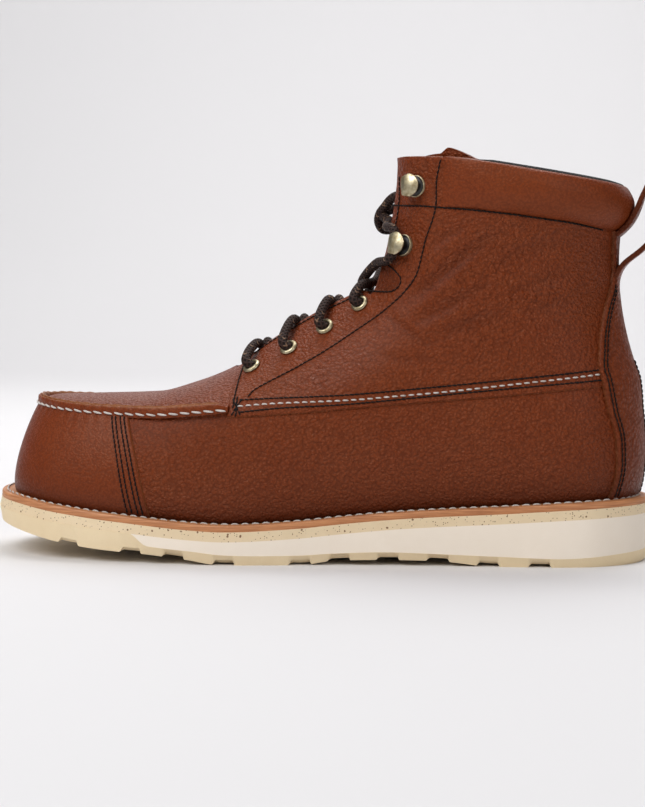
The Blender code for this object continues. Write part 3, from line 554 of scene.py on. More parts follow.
    def find(self, x: Array, z: Array) -> tuple[Array, Array]:
        """Share and row of places on the outer side.

        Args:
            x: millimetres along the boot.
            z: millimetres up from the floor.

        Returns:
            The share and the row of each place.
        """
        aim = np.stack((x, z), -1)
        apart = ((self.net_places[None, :, ::2] - aim[:, None]) ** 2).sum(-1)
        share, row = self.net[apart.argmin(1)].T.copy()
        step = 0.0005
        for _ in range(10):
            here = self.surface(share, row)[:, ::2]
            by_share = (self.surface(share + step, row)[:, ::2] - here) / step
            by_row = (here - self.surface(share, row - step)[:, ::2]) / step
            miss = aim - here
            det = by_share[:, 0] * by_row[:, 1] - by_share[:, 1] * by_row[:, 0]
            det = np.where(np.abs(det) < 1e-6, 1e-6, det)
            share += np.clip((miss[:, 0] * by_row[:, 1] - miss[:, 1] * by_row[:, 0]) / det, -0.02, 0.02)
            row += np.clip((by_share[:, 0] * miss[:, 1] - by_share[:, 1] * miss[:, 0]) / det, -0.04, 0.04)
            share, row = np.clip(share, 0.01, 0.999), np.clip(row, 0.01, 1.999)
        return share, row


def spread(*stops: tuple[float, int]) -> Array:
    """Places from stop to stop.

    Args:
        stops: each stop with the number of even steps to the next one; the last one's number is unused.

    Returns:
        All places in order.
    """
    runs = [np.linspace(a[0], b[0], a[1], endpoint=False) for a, b in zip(stops, stops[1:])]
    return np.concatenate([*runs, [stops[-1][0]]])


def bordered(first: float, last: float, count: int, border: float) -> Array:
    """Places from first to last, with close ones beside both ends where an edge is rounded.

    Args:
        first: the first place.
        last: the last place.
        count: how many places the middle has.
        border: width of the close places at each end.

    Returns:
        All places in order.
    """
    middle = np.linspace(first + border, last - border, count)
    return np.concatenate((first + border * CLOSE, middle, (last - border * CLOSE)[::-1]))


def all_round(shares: Array) -> Array:
    """Turns along the outer side and back along the inner one."""
    return np.concatenate((shares, 2.0 - shares[-2::-1]))


def both_ways(shares: Array) -> Array:
    """Turns from the inner side round the toe to the outer one."""
    return np.concatenate((-shares[:0:-1], shares))


def edge_distance(points: Array, low: bool = True, high: bool = True, ends: bool = True) -> Array:
    """How far each point of a net lies from its edges.

    Args:
        points: a net of points, rows by columns.
        low: whether the first row is an edge.
        high: whether the last row is an edge.
        ends: whether the first and last columns are edges.

    Returns:
        Millimetres to the nearest edge.
    """
    far = np.full(points.shape[:2], 1000.0)
    up, along = lengths(points), lengths(points.swapaxes(0, 1)).T
    far = np.minimum(far, up) if low else far
    far = np.minimum(far, up[-1] - up) if high else far
    return np.minimum(far, np.minimum(along, along[:, -1:] - along)) if ends else far


def rounded(thick: float, distance: Array, radius: float = 1.0) -> Array:
    """Height of a layer whose edge is rounded over a radius, by the distance from the edge."""
    return thick * np.sqrt(1.0 - (1.0 - ramp(distance, 0.0, radius)) ** 2)


def raw_edge(distance: Array, width: float = 0.5) -> Array:
    """Mask of a cut edge: 1 on it, 0 a little way in."""
    return 1.0 - ramp(distance, 0.0, width)


def new_object(name: str, data: bpy.types.ID) -> Object:
    """An object put in the scene.

    Args:
        name: its name.
        data: its mesh, camera or light.

    Returns:
        The object.
    """
    made = bpy.data.objects.new(name, data)
    bpy.context.scene.collection.objects.link(made)
    return made


def mark(piece: Object, name: str, values: Array) -> None:
    """Keep a value for each point of a piece as its attribute."""
    layer = piece.data.attributes.new(name, "FLOAT", "POINT")
    layer.data.foreach_set("value", np.ascontiguousarray(values, np.float32).ravel())


def activate(piece: Object) -> None:
    """Select one piece alone and make it active."""
    bpy.ops.object.select_all(action="DESELECT")
    piece.select_set(True)
    bpy.context.view_layer.objects.active = piece


def close_up(piece: Object, sharp: float, fill: bool = False) -> None:
    """Merge what meets, turn all faces outwards and shade smooth up to an angle.

    Args:
        piece: the piece.
        sharp: degrees past which an edge stays sharp.
        fill: whether open ends are filled.
    """
    activate(piece)
    bpy.ops.object.mode_set(mode="EDIT")
    bpy.ops.mesh.select_all(action="SELECT")
    bpy.ops.mesh.remove_doubles(threshold=MERGE)
    if fill:
        bpy.ops.mesh.fill_holes(sides=0)
        bpy.ops.mesh.select_all(action="SELECT")
    bpy.ops.mesh.normals_make_consistent(inside=False)
    bpy.ops.object.mode_set(mode="OBJECT")
    bpy.ops.object.shade_smooth_by_angle(angle=math.radians(sharp))


def delete_faces(piece: Object, chosen: Array) -> None:
    """Delete some faces of a piece.

    Args:
        piece: the piece.
        chosen: mask of its faces.
    """
    activate(piece)
    bpy.ops.object.mode_set(mode="EDIT")
    bpy.ops.mesh.select_mode(type="FACE")
    bpy.ops.mesh.select_all(action="DESELECT")
    bpy.ops.object.mode_set(mode="OBJECT")
    piece.data.polygons.foreach_set("select", np.ascontiguousarray(chosen, bool).ravel())
    bpy.ops.object.mode_set(mode="EDIT")
    bpy.ops.mesh.delete(type="FACE")
    bpy.ops.mesh.select_mode(type="VERT")
    bpy.ops.object.mode_set(mode="OBJECT")


def open_inside(piece: Object, sharp: float) -> None:
    """Take out the faces left inside a layer where two of its edges have met.

    Args:
        piece: the piece.
        sharp: degrees past which an edge stays sharp.
    """
    mesh = piece.data
    edges = np.zeros(len(mesh.loops), np.int32)
    mesh.loops.foreach_get("edge_index", edges)
    is_shared = np.bincount(edges, minlength=len(mesh.edges))[edges] > 2
    starts = np.zeros(len(mesh.polygons), np.int32)
    mesh.polygons.foreach_get("loop_start", starts)
    delete_faces(piece, np.add.reduceat(is_shared.astype(int), starts) >= 2)
    close_up(piece, sharp)


def net_piece(name: str, points: Array, marks: Marks = None) -> Object:
    """A grid laid over a net of points.

    Args:
        name: the piece's name.
        points: rows by columns of points in metres.
        marks: named values for each point, kept as attributes.

    Returns:
        The piece, still an open sheet.
    """
    rows, columns = points.shape[:2]
    bpy.ops.object.select_all(action="DESELECT")
    bpy.ops.mesh.primitive_grid_add(x_subdivisions=columns - 1, y_subdivisions=rows - 1, size=1.0)
    piece = bpy.context.object
    piece.name = piece.data.name = name
    piece.data.vertices.foreach_set("co", np.ascontiguousarray(points, np.float32).ravel())
    for label, values in (marks or {}).items():
        mark(piece, label, values)
    return piece


def sheet(
    name: str,
    outer: Array,
    inner: Array,
    marks: Marks = None,
    gaps: Optional[Array] = None,
    sharp: float = 50.0,
) -> Object:
    """A closed layer between two faces that share one net.

    Args:
        name: the piece's name.
        outer: rows by columns of points of the outer face, in metres.
        inner: the same for the inner face, whose faces take the second material.
        marks: named values for each point.
        gaps: mask of the net's faces to leave out.
        sharp: degrees past which an edge stays sharp.

    Returns:
        The finished piece.
    """
    count = outer.shape[0] * outer.shape[1]
    piece = net_piece(name, outer, {**(marks or {}), "net": np.arange(count)})
    mesh = piece.data
    if gaps is not None:
        delete_faces(piece, gaps)
    activate(piece)
    bpy.ops.object.mode_set(mode="EDIT")
    bpy.ops.mesh.select_all(action="SELECT")
    bpy.ops.mesh.extrude_region()
    bpy.ops.object.mode_set(mode="OBJECT")
    is_inner = np.zeros(len(mesh.vertices), bool)
    mesh.vertices.foreach_get("select", is_inner)
    place = np.zeros(len(mesh.vertices), np.float32)
    mesh.attributes["net"].data.foreach_get("value", place)
    place = np.rint(place).astype(int)
    points = np.where(is_inner[:, None], inner.reshape(-1, 3)[place], outer.reshape(-1, 3)[place])
    mesh.vertices.foreach_set("co", np.ascontiguousarray(points, np.float32).ravel())
    faces_in = np.zeros(len(mesh.polygons), bool)
    mesh.polygons.foreach_get("select", faces_in)
    mesh.attributes.remove(mesh.attributes["net"])
    mesh.materials.append(None)
    mesh.materials.append(None)
    mesh.polygons.foreach_set("material_index", faces_in.astype(np.int32))
    close_up(piece, sharp)
    return piece


def loop_band(name: str, points: Array, sharp: float = 50.0) -> Object:
    """A bar whose section closes on itself.

    Args:
        name: the piece's name.
        points: section corners by stations of points in metres, the first corner not repeated.
        sharp: degrees past which an edge stays sharp.

    Returns:
        The finished piece, its ends filled or merged.
    """
    piece = net_piece(name, np.concatenate((points, points[:1])))
    close_up(piece, sharp, fill=True)
    return piece


def join(name: str, pieces: Sequence[Object]) -> Object:
    """Join pieces to one.

    Args:
        name: the joined piece's name.
        pieces: the pieces, whose materials stay.

    Returns:
        The joined piece.
    """
    activate(pieces[0])
    for piece in pieces:
        piece.select_set(True)
    bpy.ops.object.join()
    joined = bpy.context.object
    joined.name = joined.data.name = name
    return joined


def even_path(stops: Array, step: float) -> Array:
    """Even points on a smooth curve through stops.

    Args:
        stops: the stops in order.
        step: distance from point to point.

    Returns:
        Points along the curve.
    """
    stops = np.asarray(stops, float)
    knots = np.concatenate(([0.0], np.cumsum(np.linalg.norm(np.diff(stops, axis=0), axis=1) ** 0.5)))
    slopes = np.diff(stops, axis=0) / np.diff(knots)[:, None]
    width = np.diff(knots)[:, None]
    tangents = np.concatenate((slopes[:1], slopes[:1], slopes[1:]))[: len(stops)]
    tangents[1:-1] = (slopes[:-1] * width[1:] + slopes[1:] * width[:-1]) / (width[1:] + width[:-1])
    tangents[-1] = slopes[-1]
    fine = np.linspace(0.0, knots[-1], 60 * len(stops))
    k = np.clip(np.searchsorted(knots, fine, side="right") - 1, 0, len(slopes) - 1)
    f = ((fine - knots[k]) / np.diff(knots)[k])[:, None]
    curve = stops[k] + (stops[k + 1] - stops[k]) * f * f * (3.0 - 2.0 * f)
    curve += width[k] * (f * (1.0 - f) ** 2 * tangents[k] + f * f * (f - 1.0) * tangents[k + 1])
    length = lengths(curve)
    even = np.linspace(0.0, length[-1], max(int(round(length[-1] / step)), 2) + 1)
    return np.stack([np.interp(even, length, curve[:, axis]) for axis in range(3)], -1)


def tube(name: str, path: Array, radius: float, sides: int = 14) -> Object:
    """A round cord along a path, with a map in millimetres along and round it.

    Args:
        name: the piece's name.
        path: points in metres.
        radius: in metres.
        sides: points round it.

    Returns:
        The finished piece.
    """
    along = unit(np.gradient(path, axis=0))
    side = np.zeros_like(path)
    side[0] = unit(np.cross(along[0], (0.3, 0.2, 1.0)))
    for k in range(1, len(path)):
        side[k] = unit(side[k - 1] - along[k] * np.dot(side[k - 1], along[k]))
    over = np.cross(along, side)
    angle = np.linspace(0.0, 2.0 * np.pi, sides + 1)[:, None, None]
    points = path[None] + radius * (np.cos(angle) * side[None] + np.sin(angle) * over[None])
    points[-1] = points[0]
    piece = net_piece(name, points)
    length = lengths(path)[-1]
    layer = piece.data.uv_layers.active.data
    flat = np.zeros(len(layer) * 2, np.float32)
    layer.foreach_get("uv", flat)
    flat[0::2] *= length / MM
    flat[1::2] *= 2.0 * np.pi * radius / MM
    layer.foreach_set("uv", flat)
    close_up(piece, 60.0, fill=True)
    return piece


def turned(name: str, profile: Sequence[tuple[float, float]], steps: int, is_ring: bool) -> Object:
    """A part turned about its own Z axis.

    Args:
        name: the piece's name.
        profile: radius and height of each corner in millimetres.
        steps: points round it.
        is_ring: whether the profile closes on itself.

    Returns:
        The finished piece at the origin.
    """
    mesh = bpy.data.meshes.new(name)
    count = len(profile)
    edges = [(k, (k + 1) % count) for k in range(count if is_ring else count - 1)]
    mesh.from_pydata([(radius * MM, 0.0, height * MM) for radius, height in profile], edges, [])
    piece = new_object(name, mesh)
    activate(piece)
    screw = piece.modifiers.new("turned", "SCREW")
    screw.steps = screw.render_steps = steps
    screw.use_merge_vertices = True
    screw.merge_threshold = MERGE
    bpy.ops.object.modifier_apply(modifier=screw.name)
    close_up(piece, 60.0)
    return piece


def stamped(name: str, model: Object, axes: Array, place: Array) -> Object:
    """A copy of a small part, set in place with its own mesh.

    Args:
        name: the copy's name.
        model: the part at the origin.
        axes: three rows, the copy's own X, Y and Z.
        place: where it goes, in metres.

    Returns:
        The copy.
    """
    mesh = model.data.copy()
    mesh.name = name
    matrix = Matrix(axes.tolist()).transposed().to_4x4()
    matrix.translation = place.tolist()
    mesh.transform(matrix)
    return new_object(name, mesh)


@dataclass(frozen=True)
class Crease:
    """A fold in the leather, along spots on the boot's side."""

    spots: tuple[Spot, ...]
    depth: float
    width: float


CREASES = (
    Crease((Spot(48, 119), Spot(62, 130), Spot(79, 144), Spot(93, 151)), 1.1, 4.2),
    Crease((Spot(50, 109), Spot(66, 117), Spot(86, 128)), 0.9, 3.8),
    Crease((Spot(58, 102), Spot(75, 109), Spot(93, 114)), 0.9, 3.8),
    Crease((Spot(57, 142), Spot(66, 149), Spot(77, 155)), 0.6, 3.0),
    Crease((Spot(84, 134), Spot(100, 142), Spot(119, 147)), 0.6, 3.6),
    Crease((Spot(93, 123), Spot(107, 128), Spot(123, 134)), 0.45, 3.6),
    Crease((Spot(100, 112), Spot(112, 118), Spot(127, 120)), 0.35, 3.4),
    Crease((Spot(38, 113), Spot(49, 105), Spot(62, 98)), 0.7, 3.2),
    Crease((Spot(30, 96), Spot(46, 93), Spot(62, 94)), 0.4, 3.0),
    Crease((Spot(-18, 80), Spot(0, 82), Spot(18, 86)), 0.35, 3.0),
    Crease((Spot(-62, 62), Spot(-55, 48), Spot(-53, 34)), 0.45, 3.4),
    Crease((Spot(-49, 64), Spot(-43, 52), Spot(-42, 38)), 0.45, 3.2),
    Crease((Spot(-36, 63), Spot(-31, 55), Spot(-30, 46)), 0.35, 3.0),
    Crease((Spot(-62, 69), Spot(-59, 76), Spot(-56, 82)), 0.5, 3.0),
    Crease((Spot(-50, 70), Spot(-47, 78), Spot(-44, 88)), 0.5, 3.0),
)


class Patch(NamedTuple):
    """A round patch of the boot's side, in millimetres."""

    x: float
    z: float
    reach: float


WORN_PATCHES = (
    Patch(83.0, 142.0, 15.0), Patch(107.0, 154.0, 13.0), Patch(90.0, 122.0, 14.0), Patch(107.0, 122.0, 11.0),
    Patch(51.0, 131.0, 9.0), Patch(63.0, 124.0, 12.0), Patch(67.0, 136.0, 9.0), Patch(76.0, 106.0, 10.0),
    Patch(8.0, 84.0, 9.0), Patch(30.0, 92.0, 9.0),
)
GUSSET = Spot(32.0, 129.5)
GUSSET_HALF = Spot(12.6, 6.2)
GUSSET_TILT = (0.97, 0.24)


def crease_height(points: Array) -> Array:
    """How far the folds raise or sink the leather.

    Args:
        points: points in millimetres.

    Returns:
        Millimetres outwards for each point.
    """
    flat = points.reshape(-1, 3)[:, ::2]
    height = np.zeros(len(flat))
    for crease in CREASES:
        spots = np.array(crease.spots, float)
        path = even_path(np.insert(spots, 1, 0.0, axis=1), 1.5)[:, ::2]
        low, high = path.min(0) - 4.0 * crease.width, path.max(0) + 4.0 * crease.width
        near = np.flatnonzero((flat > low).all(1) & (flat < high).all(1))
        if not len(near):
            continue
        apart = np.linalg.norm(flat[near][:, None] - path[None], axis=-1)
        along = apart.argmin(1) / (len(path) - 1.0)
        reach = (apart.min(1) / crease.width) ** 2
        fade = np.sin(np.pi * np.clip(along, 0.02, 0.98)) ** 0.7
        height[near] -= crease.depth * fade * (1.0 - 0.9 * reach) * np.exp(-reach)
    return height.reshape(points.shape[:-1])


def wear_mask(points: Array) -> Array:
    """Where the leather is broken in and its grain stands up in small folds.

    Args:
        points: points in millimetres.

    Returns:
        0 to 1 for each point.
    """
    mask = np.zeros(points.shape[:-1])
    for x, z, reach in WORN_PATCHES:
        mask += 0.8 * np.exp(-((points[..., 0] - x) ** 2 + (1.3 * (points[..., 2] - z)) ** 2) / reach**2)
    return np.clip(mask, 0.0, 1.0)


def gusset_mask(points: Array) -> Array:
    """The sunk patch behind the notch of the throat.

    Args:
        points: points in millimetres.

    Returns:
        1 inside the patch's stitches, 0 outside them.
    """
    level, steep = GUSSET_TILT
    x, z = points[..., 0] - GUSSET.x, points[..., 2] - GUSSET.z
    reach = np.hypot((x * level - z * steep) / GUSSET_HALF.x, (x * steep + z * level) / GUSSET_HALF.z)
    return ramp(reach, 1.0, -0.12)


class Wiring:
    """Adds and joins the nodes of one shader tree."""

    def __init__(self, tree: bpy.types.NodeTree) -> None:
        """Keep the tree that the nodes go in."""
        self.tree = tree

    def fill(self, sockets: Iterable[Socket], values: Iterable[object]) -> None:
        """Join or set inputs in order.

        Args:
            sockets: the inputs.
            values: for each, a socket to join or a value to set.
        """
        for socket, value in zip(sockets, values):
            if isinstance(value, Socket):
                self.tree.links.new(value, socket)
            else:
                socket.default_value = value

    def feed(self, shader: Node, values: dict[str, object]) -> None:
        """Join or set a node's inputs by their names."""
        self.fill([shader.inputs[name] for name in values], values.values())

    def node(self, kind: str, **settings: object) -> Node:
        """A new node.

        Args:
            kind: the node's type, without its first words.
            settings: its properties, or sockets and values for the inputs of that name.

        Returns:
            The node.
        """
        made = self.tree.nodes.new(f"ShaderNode{kind}")
        for name, value in settings.items():
            if hasattr(made, name) and not isinstance(value, Socket):
                setattr(made, name, value)
            else:
                self.feed(made, {name.replace("_", " ").title(): value})
        return made

    def result(self, kind: str, values: Sequence[object], **settings: object) -> Socket:
        """First output of a new node whose inputs are filled in order.

        Args:
            kind: the node's type, without its first words.
            values: sockets and values for its inputs.
            settings: its properties.

        Returns:
            The output.
        """
        made = self.node(kind, **settings)
        self.fill(made.inputs, values)
        return made.outputs[0]

    def math(self, operation: str, first: object, second: object = 0.0) -> Socket:
        """The result of one operation on two numbers or sockets."""
        return self.result("Math", (first, second), operation=operation)

    def vector(self, operation: str, first: object, second: object) -> Socket:
        """The result of one operation on two vectors or sockets."""
        return self.result("VectorMath", (first, second), operation=operation)

    def ranged(self, value: Socket, low: float, high: float, to: tuple[float, float] = (0.0, 1.0)) -> Socket:
        """A value brought from one range to another, and held inside it."""
        ends = {"from_min": low, "from_max": high, "to_min": to[0], "to_max": to[1]}
        return self.node("MapRange", value=value, **ends).outputs[0]

    def mix(self, factor: Socket, first: object, second: object) -> Socket:
        """A colour between two colours or colour sockets.

        Args:
            factor: how far from the first to the second.
            first: the colour at 0.
            second: the colour at 1.

        Returns:
            The mixed colour.
        """
        made = self.node("Mix", data_type="RGBA")
        colours = [(*colour, 1.0) if isinstance(colour, tuple) else colour for colour in (first, second)]
        self.fill((made.inputs[0], made.inputs[6], made.inputs[7]), (factor, *colours))
        return made.outputs[2]

    def noise(self, vector: Socket, scale: object, detail: float = 3.0) -> Socket:
        """Soft random values over the surface."""
        return self.node("TexNoise", vector=vector, scale=scale, detail=detail).outputs[0]

    def cells(self, vector: Socket, scale: object, **settings: object) -> Node:
        """Random cells over the surface."""
        return self.node("TexVoronoi", vector=vector, scale=scale, **settings)

    def attribute(self, name: str) -> Socket:
        """The value of a piece's own attribute."""
        return self.node("Attribute", attribute_name=name).outputs["Fac"]

    def places(self, name: str = "Object") -> Socket:
        """The piece's own coordinates."""
        return self.node("TexCoord").outputs[name]

    def bump(self, height: Socket, depth: float) -> Socket:
        """The normal of a height, in millimetres of relief."""
        return self.node("Bump", height=height, strength=1.0, distance=depth * MM).outputs[0]

    def group(self, tree: bpy.types.NodeTree, vector: Socket, scale: float) -> Node:
        """A shared node group with its own scale."""
        return self.node("Group", node_tree=tree, vector=vector, scale=scale)


def new_group(name: str, outputs: Sequence[str]) -> tuple[Wiring, Socket, Socket]:
    """A shader node group that reads a vector and a scale.

    Args:
        name: the group's name.
        outputs: names of its value outputs.

    Returns:
        The group's wiring, its vector and its scale.
    """
    group = bpy.data.node_groups.new(name, "ShaderNodeTree")
    group.interface.new_socket("Vector", in_out="INPUT", socket_type="NodeSocketVector")
    group.interface.new_socket("Scale", in_out="INPUT", socket_type="NodeSocketFloat")
    for label in outputs:
        group.interface.new_socket(label, in_out="OUTPUT", socket_type="NodeSocketFloat")
    given = group.nodes.new("NodeGroupInput")
    group.nodes.new("NodeGroupOutput")
    return Wiring(group), given.outputs["Vector"], given.outputs["Scale"]


@cache
def grain_group() -> bpy.types.NodeTree:
    """Pebbled grain of full leather, built once.

    Returns:
        A group that puts out the relief, and a mask of the valleys between the pebbles.
    """
    wires, vector, scale = new_group("leather_grain", ("Relief", "Valleys"))
    warp = wires.node("TexNoise", vector=vector, scale=wires.math("MULTIPLY", scale, 0.45), detail=2.0)
    sway = wires.vector("SUBTRACT", warp.outputs["Color"], (0.5, 0.5, 0.5))
    moved = wires.vector("ADD", vector, wires.vector("MULTIPLY", sway, (0.0014, 0.0014, 0.0014)))
    pebbles = wires.cells(moved, scale, feature="SMOOTH_F1", smoothness=0.3)
    fine = wires.cells(moved, wires.math("MULTIPLY", scale, 2.7))
    weighed = wires.math("MULTIPLY", fine.outputs["Distance"], 0.3)
    both = wires.math("ADD", pebbles.outputs["Distance"], weighed)
    relief = wires.math("SUBTRACT", 1.0, both)
    valleys = wires.ranged(both, 0.45, 0.85)
    wires.feed(wires.tree.nodes["Group Output"], {"Relief": relief, "Valleys": valleys})
    return wires.tree


@cache
def drift_group() -> bpy.types.NodeTree:
    """Slow change of tone over a surface, built once.

    Returns:
        A group that puts out a tone from broad clouds and small patches.
    """
    wires, vector, scale = new_group("tone_drift", ("Tone",))
    broad = wires.math("MULTIPLY", wires.noise(vector, scale, 2.0), 0.6)
    small = wires.math("MULTIPLY", wires.noise(vector, wires.math("MULTIPLY", scale, 6.0), 4.0), 0.4)
    tone = wires.ranged(wires.math("ADD", broad, small), 0.33, 0.67)
    wires.feed(wires.tree.nodes["Group Output"], {"Tone": tone})
    return wires.tree


@dataclass(frozen=True)
class Finish:
    """A procedural material."""

    name: str

    def material(self) -> bpy.types.Material:
        """Wire the material.

        Returns:
            The material.
        """
        material = bpy.data.materials.new(self.name)
        material.use_nodes = True
        wires = Wiring(material.node_tree)
        wires.feed(material.node_tree.nodes["Principled BSDF"], self.inputs(wires))
        return material

    def inputs(self, wires: Wiring) -> dict[str, object]:
        """What the shader's inputs take; each finish gives its own."""
        raise NotImplementedError


@dataclass(frozen=True)
class Leather(Finish):
    """Full-grain leather, pebbled and waxed: paler in random patches, with painted shade in the grain's
    valleys, the folds and by the welt, and painted light.
    """

    colour: Colour = (0.182, 0.029, 0.005)
    # the dark colour: painted shade in grain valleys, folds and by the welt; also the darker edges and sunk
    # patch
    dark: Colour = (0.060, 0.008, 0.0015)
    # the pale colour: random paler patches and fold rims, and painted light on the cuff
    rubbed: Colour = (0.225, 0.050, 0.014)
    cut: Colour = (0.33, 0.14, 0.05)
    sheen_tint: Colour = (1.0, 0.68, 0.47)
    drift_scale: float = 24.0
    grain_scale: float = 700.0
    grain_depth: float = 0.8
    fold_scale: float = 330.0
    fold_depth: float = 1.5
    roughness: float = 0.37
    specular: float = 0.3
    coat: float = 0.08
    coat_roughness: float = 0.32

    def inputs(self, wires: Wiring) -> dict[str, object]:
        """Relief of grain and folds, and colour by drift and cut edges, with painted shade and light from the
        valleys and the tone.

        Args:
            wires: the material's wiring.

        Returns:
            Sockets and values by the names of the shader's inputs.
        """
        places = wires.places()
        grain = wires.group(grain_group(), places, self.grain_scale)
        folds = wires.group(grain_group(), places, self.fold_scale)
        drift = wires.group(drift_group(), places, self.drift_scale)
        valleys = grain.outputs["Valleys"]
        tone = wires.attribute("tone")
        base = wires.mix(wires.ranged(drift.outputs["Tone"], 0.0, 1.0, (0.0, 0.4)), self.colour, self.rubbed)
        # painted shade in the grain's valleys
        base = wires.mix(wires.math("MULTIPLY", valleys, 0.42), base, self.dark)
        # negative tone: painted shade by the welt and in the folds, and the darker edges and sunk patch
        base = wires.mix(wires.ranged(tone, 0.0, -1.0), base, self.dark)
        # positive tone: painted light on the cuff, and paler fold rims
        base = wires.mix(wires.ranged(tone, 0.0, 1.0), base, self.rubbed)
        fine = wires.math("MULTIPLY", grain.outputs["Relief"], self.grain_depth)
        deep = wires.math("MULTIPLY", folds.outputs["Relief"], self.fold_depth)
        height = wires.math("ADD", fine, wires.math("MULTIPLY", deep, wires.attribute("wear")))
        return {
            "Base Color": wires.mix(wires.attribute("edge"), base, self.cut),
            "Roughness": wires.ranged(valleys, 0.0, 1.0, (self.roughness - 0.05, self.roughness + 0.14)),
            "Normal": wires.bump(height, 1.0),
            "Specular IOR Level": self.specular,
            "Specular Tint": (*self.sheen_tint, 1.0),
            "Coat Weight": self.coat,
            "Coat Roughness": self.coat_roughness,
        }


@dataclass(frozen=True)
class Rubber(Finish):
    """Moulded rubber or foam, mottled, with open pores and, in one layer, specks."""

    colour: Colour
    shade: Colour
    drift_scale: float = 30.0
    pore_scale: float = 1500.0
    pore_depth: float = 0.05
    roughness: float = 0.62
    specks: Optional[Colour] = None

    def inputs(self, wires: Wiring) -> dict[str, object]:
        """Pores as relief, and colour by drift, pores and specks.

        Args:
            wires: the material's wiring.

        Returns:
            Sockets by the names of the shader's inputs.
        """
        places = wires.places()
        drift = wires.group(drift_group(), places, self.drift_scale)
        pores = wires.noise(places, self.pore_scale, 2.0)
        base = wires.mix(wires.math("MULTIPLY", drift.outputs["Tone"], 0.6), self.colour, self.shade)
        base = wires.mix(wires.ranged(pores, 0.58, 0.72, (0.0, 0.3)), base, self.shade)
        ragged = wires.ranged(pores, 0.2, 0.8, (-0.1, 0.1))
        for scale, share in ((520.0, 0.2), (1050.0, 0.3)) if self.specks else ():
            cells = wires.cells(places, scale)
            chosen = wires.node("SeparateColor", color=cells.outputs["Color"]).outputs[0]
            reach = wires.math("ADD", cells.outputs["Distance"], ragged)
            spot = wires.ranged(reach, 0.20, 0.28, (1.0, 0.0))
            picked = wires.math("MULTIPLY", spot, wires.math("LESS_THAN", chosen, share))
            base = wires.mix(picked, base, self.specks)
        return {
            "Base Color": base,
            "Roughness": wires.ranged(pores, 0.3, 0.7, (self.roughness - 0.06, self.roughness + 0.1)),
            "Normal": wires.bump(pores, self.pore_depth),
        }


@dataclass(frozen=True)
class Edge(Finish):
    """The welt's waxed cut edge: tan, with fine lines along it."""

    colour: Colour = (0.62, 0.27, 0.11)
    shade: Colour = (0.36, 0.13, 0.045)
    drift_scale: float = 40.0
    line_scale: float = 1710.0
    line_stretch: tuple[float, float, float] = (0.04, 0.04, 1.0)
    line_depth: float = 0.12

    def inputs(self, wires: Wiring) -> dict[str, object]:
        """Lines as relief, and colour by lines and drift.

        Args:
            wires: the material's wiring.

        Returns:
            Sockets by the names of the shader's inputs.
        """
        places = wires.places()
        lines = wires.noise(wires.vector("MULTIPLY", places, self.line_stretch), self.line_scale)
        drift = wires.group(drift_group(), places, self.drift_scale)
        base = wires.mix(wires.ranged(lines, 0.35, 0.65, (0.0, 0.8)), self.colour, self.shade)
        return {
            "Base Color": wires.mix(wires.math("MULTIPLY", drift.outputs["Tone"], 0.4), base, self.shade),
            "Roughness": wires.ranged(lines, 0.3, 0.7, (0.45, 0.62)),
            "Normal": wires.bump(lines, self.line_depth),
        }


@dataclass(frozen=True)
class Thread(Finish):
    """Waxed sewing thread, a little soiled."""

    colour: Colour
    shade: Colour
    fibre_scale: float = 2600.0
    fibre_depth: float = 0.12
    soil_scale: float = 160.0
    specular: float = 0.2

    def inputs(self, wires: Wiring) -> dict[str, object]:
        """Fibres as relief, and colour by fibres and soil.

        Args:
            wires: the material's wiring.

        Returns:
            Sockets and values by the names of the shader's inputs.
        """
        places = wires.places()
        fibres = wires.noise(places, self.fibre_scale)
        soil = wires.ranged(wires.noise(places, self.soil_scale, 2.0), 0.45, 0.75, (0.0, 0.5))
        base = wires.mix(wires.ranged(fibres, 0.35, 0.7, (0.0, 0.6)), self.colour, self.shade)
        return {
            "Base Color": wires.mix(soil, base, self.shade),
            "Roughness": wires.ranged(fibres, 0.3, 0.7, (0.6, 0.8)),
            "Normal": wires.bump(fibres, self.fibre_depth),
            "Specular IOR Level": self.specular,
        }


@dataclass(frozen=True)
class Metal(Finish):
    """Plated metal, clouded where it is dull; flat and black, it stands in for shade on the hook bases."""

    colour: Colour
    patina: Colour
    roughness: float = 0.34
    metallic: float = 1.0
    cloud_scale: float = 420.0
    pit_scale: float = 2400.0
    pit_depth: float = 0.03

    def inputs(self, wires: Wiring) -> dict[str, object]:
        """Pits as relief, and colour and gloss by clouds.

        Args:
            wires: the material's wiring.

        Returns:
            Sockets and values by the names of the shader's inputs.
        """
        places = wires.places()
        cloud = wires.noise(places, self.cloud_scale, 4.0)
        return {
            "Base Color": wires.mix(wires.ranged(cloud, 0.42, 0.68, (0.0, 0.8)), self.colour, self.patina),
            "Roughness": wires.ranged(cloud, 0.35, 0.7, (self.roughness, 0.55)),
            "Normal": wires.bump(wires.noise(places, self.pit_scale, 2.0), self.pit_depth),
            "Metallic": self.metallic,
        }


